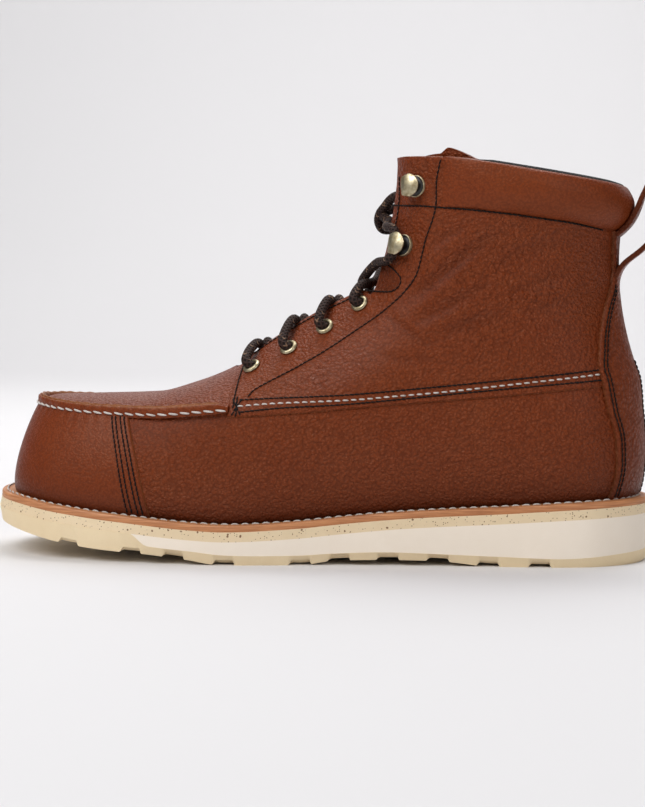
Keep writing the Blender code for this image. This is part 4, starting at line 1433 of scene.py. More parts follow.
@dataclass(frozen=True)
class Braid(Finish):
    """Round braided lace: dark strands with pale flecks, mapped along and round the cord."""

    dark: Colour = (0.009, 0.005, 0.004)
    brown: Colour = (0.042, 0.019, 0.014)
    fleck: Colour = (0.24, 0.14, 0.085)
    pitch: float = 1.9
    girth: float = 13.82
    strands: int = 5
    relief: float = 0.28
    flecked_share: float = 0.1
    specular: float = 0.25

    def inputs(self, wires: Wiring) -> dict[str, object]:
        """Crossing strands as relief, with painted shade in the hollows between them, some of their cells
        flecked.

        Args:
            wires: the material's wiring.

        Returns:
            Sockets and values by the names of the shader's inputs.
        """
        axes = wires.node("SeparateXYZ", vector=wires.places("UV"))
        along = wires.math("DIVIDE", axes.outputs[0], self.pitch)
        around = wires.math("MULTIPLY", axes.outputs[1], self.strands / self.girth)
        ways = (wires.math("ADD", along, around), wires.math("SUBTRACT", along, around))
        relief = wires.math(
            "MAXIMUM", *(wires.math("SINE", wires.math("MULTIPLY", way, 2.0 * math.pi)) for way in ways)
        )
        cell = wires.result("CombineXYZ", [wires.math("FLOOR", way) for way in ways])
        chance = wires.node("TexWhiteNoise", noise_dimensions="2D", vector=cell).outputs[0]
        picked = wires.math("GREATER_THAN", chance, 1.0 - self.flecked_share)
        worn = wires.math("MULTIPLY", picked, wires.ranged(relief, 0.3, 0.95, (0.0, 0.9)))
        # painted shade: near black in the hollows between strands, brown on their crowns
        base = wires.mix(wires.ranged(relief, -0.4, 1.0), self.dark, self.brown)
        return {
            "Base Color": wires.mix(worn, base, self.fleck),
            "Roughness": wires.ranged(relief, -1.0, 1.0, (0.85, 0.6)),
            "Normal": wires.bump(relief, self.relief),
            "Specular IOR Level": self.specular,
        }


@dataclass(frozen=True)
class Cloth(Finish):
    """Knitted lining cloth."""

    colour: Colour = (0.012, 0.011, 0.011)
    # the light colour: painted highlight on the loops' tops
    light: Colour = (0.045, 0.042, 0.040)
    knit_scale: float = 1300.0
    knit_depth: float = -0.2

    def inputs(self, wires: Wiring) -> dict[str, object]:
        """Knit as relief, with a painted highlight on top of each loop.

        Args:
            wires: the material's wiring.

        Returns:
            Sockets by the names of the shader's inputs.
        """
        knit = wires.cells(wires.places(), self.knit_scale).outputs["Distance"]
        return {
            # painted highlight on the top of each loop
            "Base Color": wires.mix(wires.ranged(knit, 0.1, 0.6, (1.0, 0.0)), self.colour, self.light),
            "Roughness": wires.ranged(knit, 0.0, 0.7, (0.8, 0.95)),
            "Normal": wires.bump(knit, self.knit_depth),
        }


@dataclass(frozen=True)
class Paper(Finish):
    """Pale paper of the studio sweep, with a faint cloud in it."""

    colour: Colour = (0.715, 0.705, 0.715)
    light: Colour = (0.735, 0.725, 0.735)
    cloud_scale: float = 3.0

    def inputs(self, wires: Wiring) -> dict[str, object]:
        """Colour and roughness by the cloud.

        Args:
            wires: the material's wiring.

        Returns:
            Sockets by the names of the shader's inputs.
        """
        cloud = wires.noise(wires.places(), self.cloud_scale, 2.0)
        return {
            "Base Color": wires.mix(cloud, self.colour, self.light),
            "Roughness": wires.ranged(cloud, 0.3, 0.7, (0.75, 0.85)),
        }


class Slot(Enum):
    """The record's material slots."""

    RUBBER = "cream_rubber"
    FOAM = "white_foam"
    SPECKLED = "speckled_layer"
    WELT = "tan_welt"
    LEATHER = "brown_leather"
    BRASS = "antique_brass"
    LACE = "brown_lace"


class Finishes:
    """Every material of the boot, wired once."""

    def __init__(self) -> None:
        """Wire the materials."""
        smooth = {"grain_scale": 900.0, "grain_depth": 0.2, "roughness": 0.40}
        pebbled = {"grain_scale": 560.0, "grain_depth": 0.75, "roughness": 0.46}
        speckled = ((0.82, 0.66, 0.44), (0.74, 0.57, 0.36))
        foam = ((0.92, 0.82, 0.70), (0.88, 0.77, 0.64))
        self.hide = Leather("brown_full_grain").material()
        self.smooth_hide = Leather("brown_smooth_grain", **smooth).material()
        self.pebbled_hide = Leather("brown_pebbled_grain", **pebbled).material()
        self.tread = Rubber("cream_tread", (0.86, 0.70, 0.46), (0.78, 0.61, 0.38)).material()
        self.foam = Rubber("white_wedge_foam", *foam, roughness=0.72).material()
        self.speckled = Rubber("speckled_midsole", *speckled, specks=(0.20, 0.10, 0.045)).material()
        self.welt = Edge("tan_welt_edge").material()
        self.black_thread = Thread("black_thread", (0.004, 0.003, 0.003), (0.010, 0.007, 0.006)).material()
        self.white_thread = Thread("white_thread", (0.66, 0.62, 0.59), (0.40, 0.33, 0.28)).material()
        self.brass = Metal("antique_brass", (0.56, 0.49, 0.33), (0.24, 0.18, 0.09)).material()
        # painted shade: the hooks' bases are made black where they lie in shadow behind the domes
        self.black = Metal("black_base", (0.008, 0.007, 0.007), (0.02, 0.017, 0.014), 0.3, 0.0).material()
        self.braid = Braid("brown_braid").material()
        self.lining = Cloth("black_lining").material()
        self.sock = Cloth("insole_cloth", (0.05, 0.042, 0.036), (0.12, 0.10, 0.085), 900.0).material()
        self.paper = Paper("pale_sweep").material()


def dress(piece: Object, materials: Sequence[bpy.types.Material], slot: Optional[Slot], *nodes: str) -> None:
    """Give a piece its materials and its body, and hide the nodes that it stands for.

    Args:
        piece: the piece.
        materials: one material, or an outer and an inner one.
        slot: the record's slot, where one fits; not used.
        nodes: CAD nodes that the piece replaces.
    """
    slots = piece.data.materials
    while len(slots) < len(materials):
        slots.append(None)
    for k in range(len(slots)):
        slots[k] = materials[min(k, len(materials) - 1)]
    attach(piece, "root")
    if nodes:
        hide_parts(*nodes)
    LOG.info("%s: %d faces", piece.name, len(piece.data.polygons))


@dataclass(frozen=True)
class Stitch:
    """One kind of stitch, in millimetres."""

    pitch: float
    length: float
    radius: float
    lift: float
    tilt: float


BLACK_STITCH = Stitch(2.3, 2.6, 0.38, 0.12, 0.12)
STRIP_STITCH = Stitch(3.7, 2.9, 0.42, 0.2, 0.1)
MOC_STITCH = Stitch(5.6, 5.0, 0.5, 0.25, 0.4)
WELT_STITCH = Stitch(4.7, 3.9, 0.42, 0.12, 0.3)
STITCH_STATIONS = np.array((-1.0, -0.86, -0.45, 0.0, 0.45, 0.86, 1.0))
STITCH_GIRTHS = np.array((0.62, 0.94, 1.0, 0.94, 0.62))
STITCH_SIDES = 6


def stitch_faces() -> list[tuple[int, ...]]:
    """Faces of one stitch: rings of points between two end points.

    Returns:
        The point numbers of each face, counted from the stitch's first point.
    """
    sides = STITCH_SIDES
    rings = len(STITCH_GIRTHS)
    tail = 1 + rings * sides
    faces: list[tuple[int, ...]] = []
    for k in range(sides):
        after = (k + 1) % sides
        for low in range(1, tail - sides, sides):
            faces.append((low + k, low + after, low + sides + after, low + sides + k))
        faces.append((0, 1 + after, 1 + k))
        faces.append((tail, tail - sides + k, tail - sides + after))
    return faces


def stitch_points(run: Skin, stitch: Stitch) -> Array:
    """Points of the stitches of one line.

    Args:
        run: the line, in millimetres.
        stitch: the kind of stitch.

    Returns:
        Stitches by points.
    """
    stations = STITCH_STATIONS
    angle = 2.0 * np.pi * np.arange(STITCH_SIDES)[:, None] / STITCH_SIDES
    length = lengths(run.points)
    count = max(int(round(length[-1] / stitch.pitch)), 1)
    centres = (np.arange(count) + 0.5) * length[-1] / count
    at = centres[:, None] + 0.5 * stitch.length * stations[None]

    def along(values: Array, offset: float = 0.0) -> Array:
        """Values of the line at every station of every stitch."""
        return np.stack([np.interp(at + offset, length, values[:, axis]) for axis in range(3)], -1)

    out = unit(along(run.normals))
    across = np.cross(unit(along(run.points, 0.3) - along(run.points, -0.3)), out)
    rise = stitch.lift * (1.0 - stations**2) - 1.3 * stitch.radius * stations**6
    spine = along(run.points) + out * rise[:, None] + across * (stitch.tilt * stations)[:, None]
    ring = np.cos(angle) * across[:, 1:-1, None] + np.sin(angle) * out[:, 1:-1, None]
    ring = spine[:, 1:-1, None] + stitch.radius * STITCH_GIRTHS[:, None, None] * ring
    return np.concatenate((spine[:, :1], ring.reshape(count, -1, 3), spine[:, -1:]), axis=1)


def sewn(name: str, runs: Sequence[Skin], stitch: Stitch, last: Last) -> Object:
    """All the stitches of some lines as one mesh.

    Args:
        name: the piece's name.
        runs: the lines, in millimetres.
        stitch: the kind of stitch.
        last: the boot's shape.

    Returns:
        The finished piece.
    """
    stitches = np.concatenate([stitch_points(run, stitch) for run in runs])
    size = stitches.shape[1]
    model = stitch_faces()
    faces = [tuple(k * size + corner for corner in face) for k in range(len(stitches)) for face in model]
    mesh = bpy.data.meshes.new(name)
    mesh.from_pydata(last.place(stitches.reshape(-1, 3)).tolist(), [], faces)
    piece = new_object(name, mesh)
    close_up(piece, 80.0)
    return piece


@dataclass
class Seams:
    """Lines drawn on the upper, from which stitches are sewn."""

    last: Last
    step: float = 0.8

    def on_side(self, spots: Sequence[tuple[float, float]], offset: float) -> list[Skin]:
        """A line through spots on the side, on both sides of the boot.

        Args:
            spots: x and z of each spot in millimetres.
            offset: millimetres off the upper's outer face.

        Returns:
            The outer and the inner run.
        """
        path = even_path(np.insert(np.array(spots, float), 1, 0.0, axis=1), self.step)
        return self.on_net(*self.last.find(path[:, 0], path[:, 2]), offset)

    def on_net(self, share: Array, row: Array, offset: Array) -> list[Skin]:
        """A line on both sides of the boot.

        Args:
            share: shares from toe to heel.
            row: rows up the upper.
            offset: millimetres off the upper's outer face.

        Returns:
            The outer and the inner run.
        """
        skins = (self.last.skin(turn, row) for turn in (share, 2.0 - share))
        return [Skin(skin.off(offset + crease_height(skin.points)), skin.normals) for skin in skins]


@dataclass
class Upper:
    """The leather upper: wall, toe panel, quarters, moccasin lip, cuff, heel panel, loop and tongue."""

    last: Last
    finishes: Finishes
    sunk: float = 0.4
    quarter_front: float = 0.412
    quarter_row: float = 0.93
    gusset_depth: float = 0.75
    pucker: float = 0.22
    lip_outer: Profile = (
        (-0.3, -1.6), (1.7, -1.4), (2.15, 0.4), (2.0, 2.6), (1.75, 3.3), (1.3, 3.55), (0.75, 3.4),
        (0.45, 2.9), (0.2, 0.5),
    )
    lip_inner: Profile = (
        (-0.9, -1.2), (0.4, -1.2), (0.55, 2.6), (0.45, 3.7), (0.1, 4.15), (-0.5, 4.05), (-1.0, 3.4),
        (-1.6, 1.6),
    )
    cuff_front: tuple[float, float] = (0.711, 0.034)
    cuff_pad: float = 4.0
    cuff_rear_pad: float = 1.6
    rim_front: float = 0.775
    rim_section: Profile = (
        (1.0, -2.5), (0.7, -0.2), (0.2, 0.5), (-1.2, 0.8), (-2.8, 0.5), (-3.6, -0.4), (-3.8, -4.0),
        (-2.0, -4.5),
    )
    backstay_thick: float = 1.6
    loop_width: float = 15.0
    loop_thick: float = 2.4
    loop_step: float = 0.8
    loop_bends: Profile = (
        (141.2, 119.0), (140.7, 124.0), (140.8, 128.6), (141.9, 132.6), (144.1, 136.2), (147.2, 139.2),
        (151.0, 142.2), (155.6, 146.8), (160.2, 153.6), (163.9, 161.4), (165.6, 169.5), (164.0, 176.2),
        (159.8, 178.6), (156.2, 175.6), (153.8, 171.4), (152.0, 167.0), (150.6, 162.6), (148.8, 158.2),
        (146.4, 154.4), (143.8, 151.6), (141.4, 149.6),
    )
    tongue_depth: float = 1.6
    tongue_thick: float = 3.2
    tongue_sag: float = 1.15
    tongue_ear: float = 2.6
    tongue_slope: float = 1.4

    def build(self) -> None:
        """Build and dress all leather pieces."""
        self.build_wall()
        self.build_toe_panel()
        self.build_quarters()
        self.build_lip()
        self.build_cuff()
        self.build_rim()
        self.build_backstay()
        self.build_loop()
        self.build_tongue()

    def low_tone(self, row: Array) -> Array:
        """Painted shade towards the welt, where the leather is also burnished: -1 at its foot, 0 above it."""
        return -0.75 * np.exp(-np.maximum(row, 0.0) / 0.10) - 0.25 * np.exp(-np.maximum(row, 0.0) / 0.45)

    def layer(self, name: str, skin: Skin, over: Array, under: Array, marks: Marks) -> Object:
        """A layer of leather on the last.

        Args:
            name: the piece's name.
            skin: a net on the last.
            over: millimetres off it to the layer's top.
            under: millimetres off it to the layer's underside.
            marks: named values for each point.

        Returns:
            The finished piece.
        """
        return sheet(name, self.last.place(skin.off(over)), self.last.place(skin.off(under)), marks)

    def build_wall(self) -> None:
        """The hollow wall: vamp, plug and the layer under the quarters, lined inside."""
        last = self.last
        shares = spread((0.0, 70), (0.397, 1), (0.403, 40), (0.62, 20), (0.70, 44), (1.0, 0))
        turn, level = np.meshgrid(all_round(shares), spread((0.0, 4), (0.05, 34), (1.0, 46), (2.0, 0)))
        top = last.throat_top(last.share_at(turn))
        row = np.where(level > 1.0, 1.0 + (level - 1.0) * (top - 1.0), level)
        skin = last.skin(turn, row)
        height = np.where(row < 1.9, crease_height(skin.points), 0.0)
        # the tone: painted shade and burnish towards the welt, and painted shade in the fold troughs, paler
        # on their rims
        marks = {"tone": self.low_tone(row) + 0.25 * np.clip(height, -1.0, 1.0)}
        piece = self.layer("upper_wall", skin, height, -last.wall, marks)
        open_inside(piece, 50.0)
        dress(piece, (self.finishes.hide, self.finishes.lining), Slot.LEATHER, "upper")

    def build_toe_panel(self) -> None:
        """Toe panel lapped over the vamp, from the slanted seam round the toe."""
        last = self.last
        across, row = np.meshgrid(bordered(-1.0, 1.0, 150, 0.012), bordered(0.01, 0.985, 44, 0.03))
        skin = last.skin(across * last.cap_share(row), row)
        away = edge_distance(skin.points, low=False)
        wave = self.pucker * np.sin(2.0 * np.pi * lengths(skin.points[-1]) / MOC_STITCH.pitch)
        height = rounded(last.lap, away) + wave * np.exp(-(1.0 - row) / 0.10) * ramp(away, 0.0, 2.0)
        # the tone: painted shade and burnish towards the welt
        marks = {"tone": self.low_tone(row), "edge": 0.45 * raw_edge(away, 0.35)}
        piece = self.layer("toe_panel", skin, height, -self.sunk, marks)
        dress(piece, (self.finishes.smooth_hide,), Slot.LEATHER)

    def build_quarters(self) -> None:
        """Quarters with strip and eyestay, lapped over the vamp and carried round the heel."""
        last = self.last
        front, border = self.quarter_front, 0.0026
        even = spread((front + border, 62), (0.555, 62), (0.70, 46), (0.86, 10), (1.0, 0))
        turns = all_round(np.concatenate((front + border * CLOSE, even)))
        turn, climb = np.meshgrid(turns, bordered(0.0, 1.0, 82, 0.013))
        row = self.quarter_row + climb * (last.throat_top(last.share_at(turn)) - self.quarter_row)
        skin = last.skin(turn, row)
        away = edge_distance(skin.points)
        folds = crease_height(skin.points) * ramp(away, 0.0, 6.0)
        gusset = gusset_mask(skin.points)
        height = rounded(last.lap, away) + folds - self.gusset_depth * gusset * ramp(away, 0.0, 1.5)
        # the tone: painted shade in the fold troughs, paler on their rims, and darker in the sunk patch
        marks = {
            "tone": 0.35 * np.clip(folds, -1.0, 1.0) - 0.4 * gusset,
            "edge": 0.3 * raw_edge(away, 0.35),
            "wear": np.clip(wear_mask(skin.points) + 0.5 * gusset, 0.0, 1.0),
        }
        dress(self.layer("quarters", skin, height, -self.sunk, marks), (self.finishes.hide,), Slot.LEATHER)

    def build_lip(self) -> None:
        """Raised lip of the moccasin seam: vamp edge and plug edge stacked, with pale cut tops."""
        last = self.last
        turns = both_ways(np.linspace(0.0, 0.4125, 151))
        share = np.abs(turns)
        seam = last.seam(share)
        ahead, behind = last.seam(np.minimum(share + 0.002, 1.0)), last.seam(np.maximum(share - 0.002, 0.0))
        along = np.where(share == 0.0, 0.0, ahead[:, 0] - behind[:, 0])
        across = ahead[:, 1] - behind[:, 1]
        length = np.hypot(along, across)
        side = np.where(turns < 0.0, 1.0, -1.0)
        run = lengths(seam)
        wave = np.sin(2.0 * np.pi * run / MOC_STITCH.pitch) + 0.6 * np.sin(0.37 * run)
        low_end = 1.0 - 0.45 * ramp(share, 0.397, 0.0155)
        pieces = []
        for name, section in (("lip_outer", self.lip_outer), ("lip_inner", self.lip_inner)):
            rings = []
            for out, up in section:
                sway = wave * ramp(up, 0.0, 3.0)
                reach = (out + last.lip_ease(share)) * (0.4 + 0.6 * low_end) + 0.16 * sway
                x = seam[:, 0] - reach * across / length
                width = np.maximum(seam[:, 1] + reach * along / length, 0.0)
                rings.append(np.stack((x, side * width, seam[:, 2] + up * low_end + 0.14 * sway), -1))
            piece = loop_band(name, last.place(np.array(rings)), 60.0)
            spots = np.array([vert.co for vert in piece.data.vertices]) / MM
            shoulder = last.seam_height(share_of(spots[:, 0] - last.shift[0], SEAM[0].x, SEAM[-1].x))
            mark(piece, "edge", 0.5 * ramp(spots[:, 2] - shoulder, 3.1, 0.5))
            pieces.append(piece)
        dress(join("moc_lip", pieces), (self.finishes.smooth_hide,), Slot.LEATHER, "moc_seam")

    def build_cuff(self) -> None:
        """Padded cuff round the collar, rolled over the rim."""
        last = self.last
        spots = np.array(CUFF_SEAM[1:], float)
        seam_share, seam_row = last.find(spots[:, 0], spots[:, 1])
        foot = Smooth(np.append(seam_share, 1.0), np.append(seam_row, seam_row[-1]))
        across, band = np.meshgrid(bordered(-1.0, 1.0, 190, 0.014), bordered(0.0, 1.0, 26, 0.05))
        reach = 1.0 - self.cuff_front[0] - self.cuff_front[1] * band
        turn = 1.0 + across * reach
        low = foot(last.share_at(turn)) + 0.006
        skin = last.skin(turn, low + band * (2.0 - low))
        inside = (1.0 - np.abs(across)) * reach
        fade = ramp(inside, 0.0, 0.10)
        away = edge_distance(skin.points, ends=False)
        soft = 0.25 * np.sin(turn * 71.0) * np.sin(band * 5.0 + turn * 23.0) * ramp(away, 0.0, 5.0)
        thick = self.cuff_pad + self.cuff_rear_pad * ramp(inside, 0.15, 0.12)
        pad = thick * fade * (1.0 - np.abs(2.0 * band - 1.0) ** 2.4)
        height = last.lap - 0.3 + ramp(inside, 0.0, 0.02) * (0.3 + rounded(0.8, away)) + pad + soft * fade
        # the tone: painted light and shade following the pad's ripples, and painted light over the cuff away
        # from its front ends
        marks = {"tone": 0.2 * soft + 0.12 * fade}
        piece = self.layer("cuff_pad", skin, height, last.lap - 2.0 * self.sunk, marks)
        dress(piece, (self.finishes.smooth_hide,), Slot.LEATHER, "cuff")

    def build_rim(self) -> None:
        """Black lining edge inside the cuff's rim."""
        last = self.last
        front, rear = self.rim_front, 2.0 - self.rim_front
        turns = bordered(front, rear, 220, 0.004)
        rim = last.surface(turns, 2.0)
        rim[:, 2] -= 1.2 * (1.0 - ramp(np.minimum(turns - front, rear - turns), 0.0, 0.03))
        out = last.normal(turns, 1.97)
        rings = [rim + offset * out + np.array((0.0, 0.0, up)) for offset, up in self.rim_section]
        edging = loop_band("rim_lining", last.place(np.array(rings)), 60.0)
        dress(edging, (self.finishes.lining,), None)

    def build_backstay(self) -> None:
        """Heel panel over the back seam."""
        last = self.last
        across, row = np.meshgrid(bordered(-1.0, 1.0, 50, 0.05), bordered(0.01, 1.758, 100, 0.012))
        skin = last.skin(1.0 + across * last.heel_half(row), row)
        away = edge_distance(skin.points, low=False)
        lap = last.heel_lap(row)
        height = lap + 0.3 + rounded(self.backstay_thick, away)
        # the tone: painted shade and burnish towards the welt, and darker along the panel's edges
        marks = {"tone": self.low_tone(row) - 0.5 * raw_edge(away, 0.8), "edge": 0.12 * raw_edge(away, 0.3)}
        piece = self.layer("heel_panel", skin, height, lap - self.sunk, marks)
        dress(piece, (self.finishes.pebbled_hide,), Slot.LEATHER, "backstay")

    def build_loop(self) -> None:
        """Strap loop at the back, both ends sewn to the shaft."""
        path = even_path(np.insert(np.array(self.loop_bends), 1, 0.0, axis=1), self.loop_step)
        out = level_normals(path)
        across = bordered(-1.0, 1.0, 12, 0.12)
        inset = ramp(1.0 - np.abs(across), 0.0, 1.8 / self.loop_width)
        half = 0.5 * self.loop_thick * (0.55 + 0.45 * np.sqrt(1.0 - (1.0 - inset) ** 2))
        centre = path[None] + np.array((0.0, 1.0, 0.0)) * (across * self.loop_width / 2.0)[:, None, None]
        edge = np.repeat(np.clip(1.0 - inset * 1.4, 0.0, 1.0)[:, None], len(path), axis=1)
        places = np.arange(len(path))
        ends = np.minimum(places, places[::-1]) * self.loop_step
        centre[..., 0] -= ramp(ends, 24.0, -13.0) * centre[..., 1] ** 2 / 42.0
        faces = [self.last.place(centre + way * half[:, None, None] * out) for way in (1.0, -1.0)]
        piece = sheet("pull_loop_strap", *faces, {"tone": -0.7 * edge})
        dress(piece, (self.finishes.hide,), Slot.LEATHER, "pull_loop")

    def build_tongue(self) -> None:
        """Padded tongue under the throat, carried up past the rim with an ear on the outer side."""
        last = self.last
        low = Smooth((0.375, 0.45, 0.52, 0.58, 0.64, 0.70, 0.80), (1.52, 1.5, 1.47, 1.46, 1.55, 1.72, 1.94))
        shares = spread((0.375, 60), (0.60, 24), (0.70, 40), (0.80, 0))
        count = 30
        up = np.linspace(0.0, 1.0, count)
        share, climb = np.meshgrid(shares, np.concatenate((up, up[::-1])))
        is_outer = np.arange(2 * count)[:, None] < count
        skin = last.skin(np.where(is_outer, share, 2.0 - share), low(share) + climb * (2.0 - low(share)))

        def at(offset: float) -> Array:
            """The tongue's face below the upper's outer face.

            Args:
                offset: millimetres below it.

            Returns:
                Points in metres.
            """
            points = skin.off(-offset)
            points[..., 2] -= self.tongue_sag * last.sink(share, np.abs(skin.points[..., 1]))
            x = points[..., 0]
            lift = ramp(points[..., 2], 168.0, 16.0)
            ear = np.minimum(ramp(x, 62.0, 3.0), ramp(x, 78.5, -11.5)) * is_outer
            slope = np.clip((76.0 - x) / 10.0, -1.5, 1.0)
            points[..., 2] += (self.tongue_slope * slope + self.tongue_ear * ear) * lift
            return last.place(points)

        gaps = np.zeros((2 * count - 1, len(shares) - 1), bool)
        gaps[count - 1] = shares[1:] > 0.64
        depth = last.wall + self.tongue_depth
        piece = sheet("tongue_pad", at(depth), at(depth + self.tongue_thick), {}, gaps)
        dress(piece, (self.finishes.hide, self.finishes.lining), Slot.LEATHER, "tongue")


@dataclass
class Stitching:
    """All the thread on the upper and the welt."""

    last: Last
    finishes: Finishes
    stay_rear: Profile = (
        (-23.5, 75.0), (-21.6, 77.6), (-3.2, 87.9), (10.5, 96.1), (23.8, 105.1), (35.8, 113.4),
        (46.0, 122.5), (52.0, 130.7), (53.9, 136.6), (56.2, 146.5), (59.8, 157.8), (60.7, 162.3),
        (61.1, 173.6), (62.4, 180.3), (63.0, 183.0),
    )
    strip_upper: Profile = (
        (-27.4, 73.6), (-12.6, 74.7), (21.0, 76.8), (63.3, 81.0), (98.7, 84.6), (133.7, 88.1),
    )
    strip_white: Profile = (
        (-28.4, 71.0), (-12.4, 72.5), (21.0, 74.6), (63.3, 78.4), (98.7, 82.4), (133.7, 86.1),
    )
    strip_lower: Profile = (
        (-26.7, 68.7), (-8.9, 70.7), (21.0, 72.7), (63.3, 76.9), (98.7, 80.3), (134.2, 83.4),
    )
    notch: Profile = (
        (36.0, 136.7), (42.2, 132.5), (44.8, 128.9), (44.0, 125.7), (40.6, 123.4), (33.9, 123.1),
        (26.5, 123.3),
    )
    tack: tuple[Profile, ...] = (
        ((-30.6, 74.2), (-28.4, 71.0), (-26.2, 67.4)),
        ((-26.0, 74.0), (-28.2, 71.0), (-30.4, 67.2)),
        ((-28.6, 75.0), (-28.3, 71.0), (-28.4, 66.8)),
    )
    stay_front: float = 0.4175
    toe_rows: tuple[float, ...] = (0.006, 0.0115, 0.0185, 0.024)
    toe_top: float = 0.965
    heel_rows: tuple[float, float] = (0.009, 0.0165)
    heel_top: float = 1.47
    back_row: float = 0.99
    back_top: float = 1.06
    moc_reach: float = 2.2
    welt_inset: float = 4.6

    def build(self) -> None:
        """Sew and dress all lines."""
        seams = Seams(self.last)
        lap = self.last.lap + 0.1
        black: list[Skin] = []
        for line in (self.stay_rear, self.strip_upper, self.strip_lower, self.notch, *self.tack):
            black += seams.on_side(line, lap)
        black += seams.on_side(CUFF_SEAM, lap + 0.1)
        black += self.throat_lines(seams, lap)
        black += self.toe_lines(seams, lap)
        black += self.heel_lines(seams, lap + 1.9)
        white = self.finishes.white_thread
        for name, runs, stitch, thread in (
            ("black_stitches", black, BLACK_STITCH, self.finishes.black_thread),
            ("strip_stitches", seams.on_side(self.strip_white, lap), STRIP_STITCH, white),
            ("moc_stitches", [self.moc_line()], MOC_STITCH, white),
            ("welt_stitches", [self.welt_line()], WELT_STITCH, white),
        ):
            dress(sewn(name, runs, stitch, self.last), (thread,), None)

    def throat_lines(self, seams: Seams, offset: float) -> list[Skin]:
        """The line just inside the eyestay's front edge, and the lines along the throat.

        Args:
            seams: what draws on the upper.
            offset: millimetres off the upper's outer face.

        Returns:
            The runs on both sides.
        """
        low = np.linspace(0.418, 0.532, 60)
        high = np.linspace(0.588, 0.656, 60)
        low_rows = self.last.throat_top(low) - 0.04
        high_rows = np.minimum(self.last.throat_top(high) - 0.09, 1.96)
        front_rows = np.linspace(1.03, low_rows[0], 40)[:-1]
        share = np.concatenate((np.full(len(front_rows), self.stay_front), low))
        runs = seams.on_net(share, np.concatenate((front_rows, low_rows)), offset)
        return runs + seams.on_net(high, high_rows, offset)

    def toe_lines(self, seams: Seams, offset: float) -> list[Skin]:
        """Two double rows beside the toe panel's slanted edge, the first joined at the top.

        Args:
            seams: what draws on the upper.
            offset: millimetres off the upper's outer face.

        Returns:
            The runs on both sides.
        """
        row = np.linspace(0.03, self.toe_top, 60)
        runs = []
        for back in self.toe_rows:
            runs += seams.on_net(self.last.cap_share(row) - back, row, offset)
        turn_back = np.linspace(self.toe_rows[0], self.toe_rows[1], 12)
        bow = self.toe_top + 0.015 * np.sin(np.pi * np.linspace(0.0, 1.0, 12))
        return runs + seams.on_net(self.last.cap_share(bow) - turn_back, bow, offset)

    def heel_lines(self, seams: Seams, offset: float) -> list[Skin]:
        """Double rows along the heel panel's edges, and one beside the back seam.

        Args:
            seams: what draws on the upper.
            offset: millimetres off the upper's outer face where the panel lies on the quarters.

        Returns:
            The runs on both sides.
        """
        row = np.linspace(0.03, self.heel_top, 120)
        edge = 1.0 - self.last.heel_half(row)
        lift = offset + self.last.heel_lap(row) - self.last.lap
        runs = []
        for inside in self.heel_rows:
            runs += seams.on_net(edge + inside, row, lift)
        is_low = row <= self.back_top
        back = np.full(int(is_low.sum()), self.back_row)
        return runs + seams.on_net(back, row[is_low], lift[is_low])

    def moc_line(self) -> Skin:
        """Thick stitches at the foot of the moccasin lip.

        Returns:
            The run round the toe.
        """
        turns = both_ways(np.linspace(0.0, 0.412, 160))
        out = unit(self.last.normal(turns, 0.95) * (1.0, 1.0, 0.0))
        foot = Skin(self.last.surface(turns, 0.998), out)
        points = foot.off(self.moc_reach + self.last.lip_ease(np.abs(turns)))
        return Skin(points + (0.0, 0.0, 0.3), out)

    def welt_line(self) -> Skin:
        """Stitches on top of the welt, close to the upper.

        Returns:
            The run all round.
        """
        turns = np.linspace(0.0, 2.0, 700)
        x, width = self.last.plan(self.last.share_at(turns), self.welt_inset)
        points = np.stack((x, np.where(turns <= 1.0, -width, width), self.last.welt_top(x) + 0.2), -1)
        return Skin(points, np.tile((0.0, 0.0, 1.0), (len(turns), 1)))


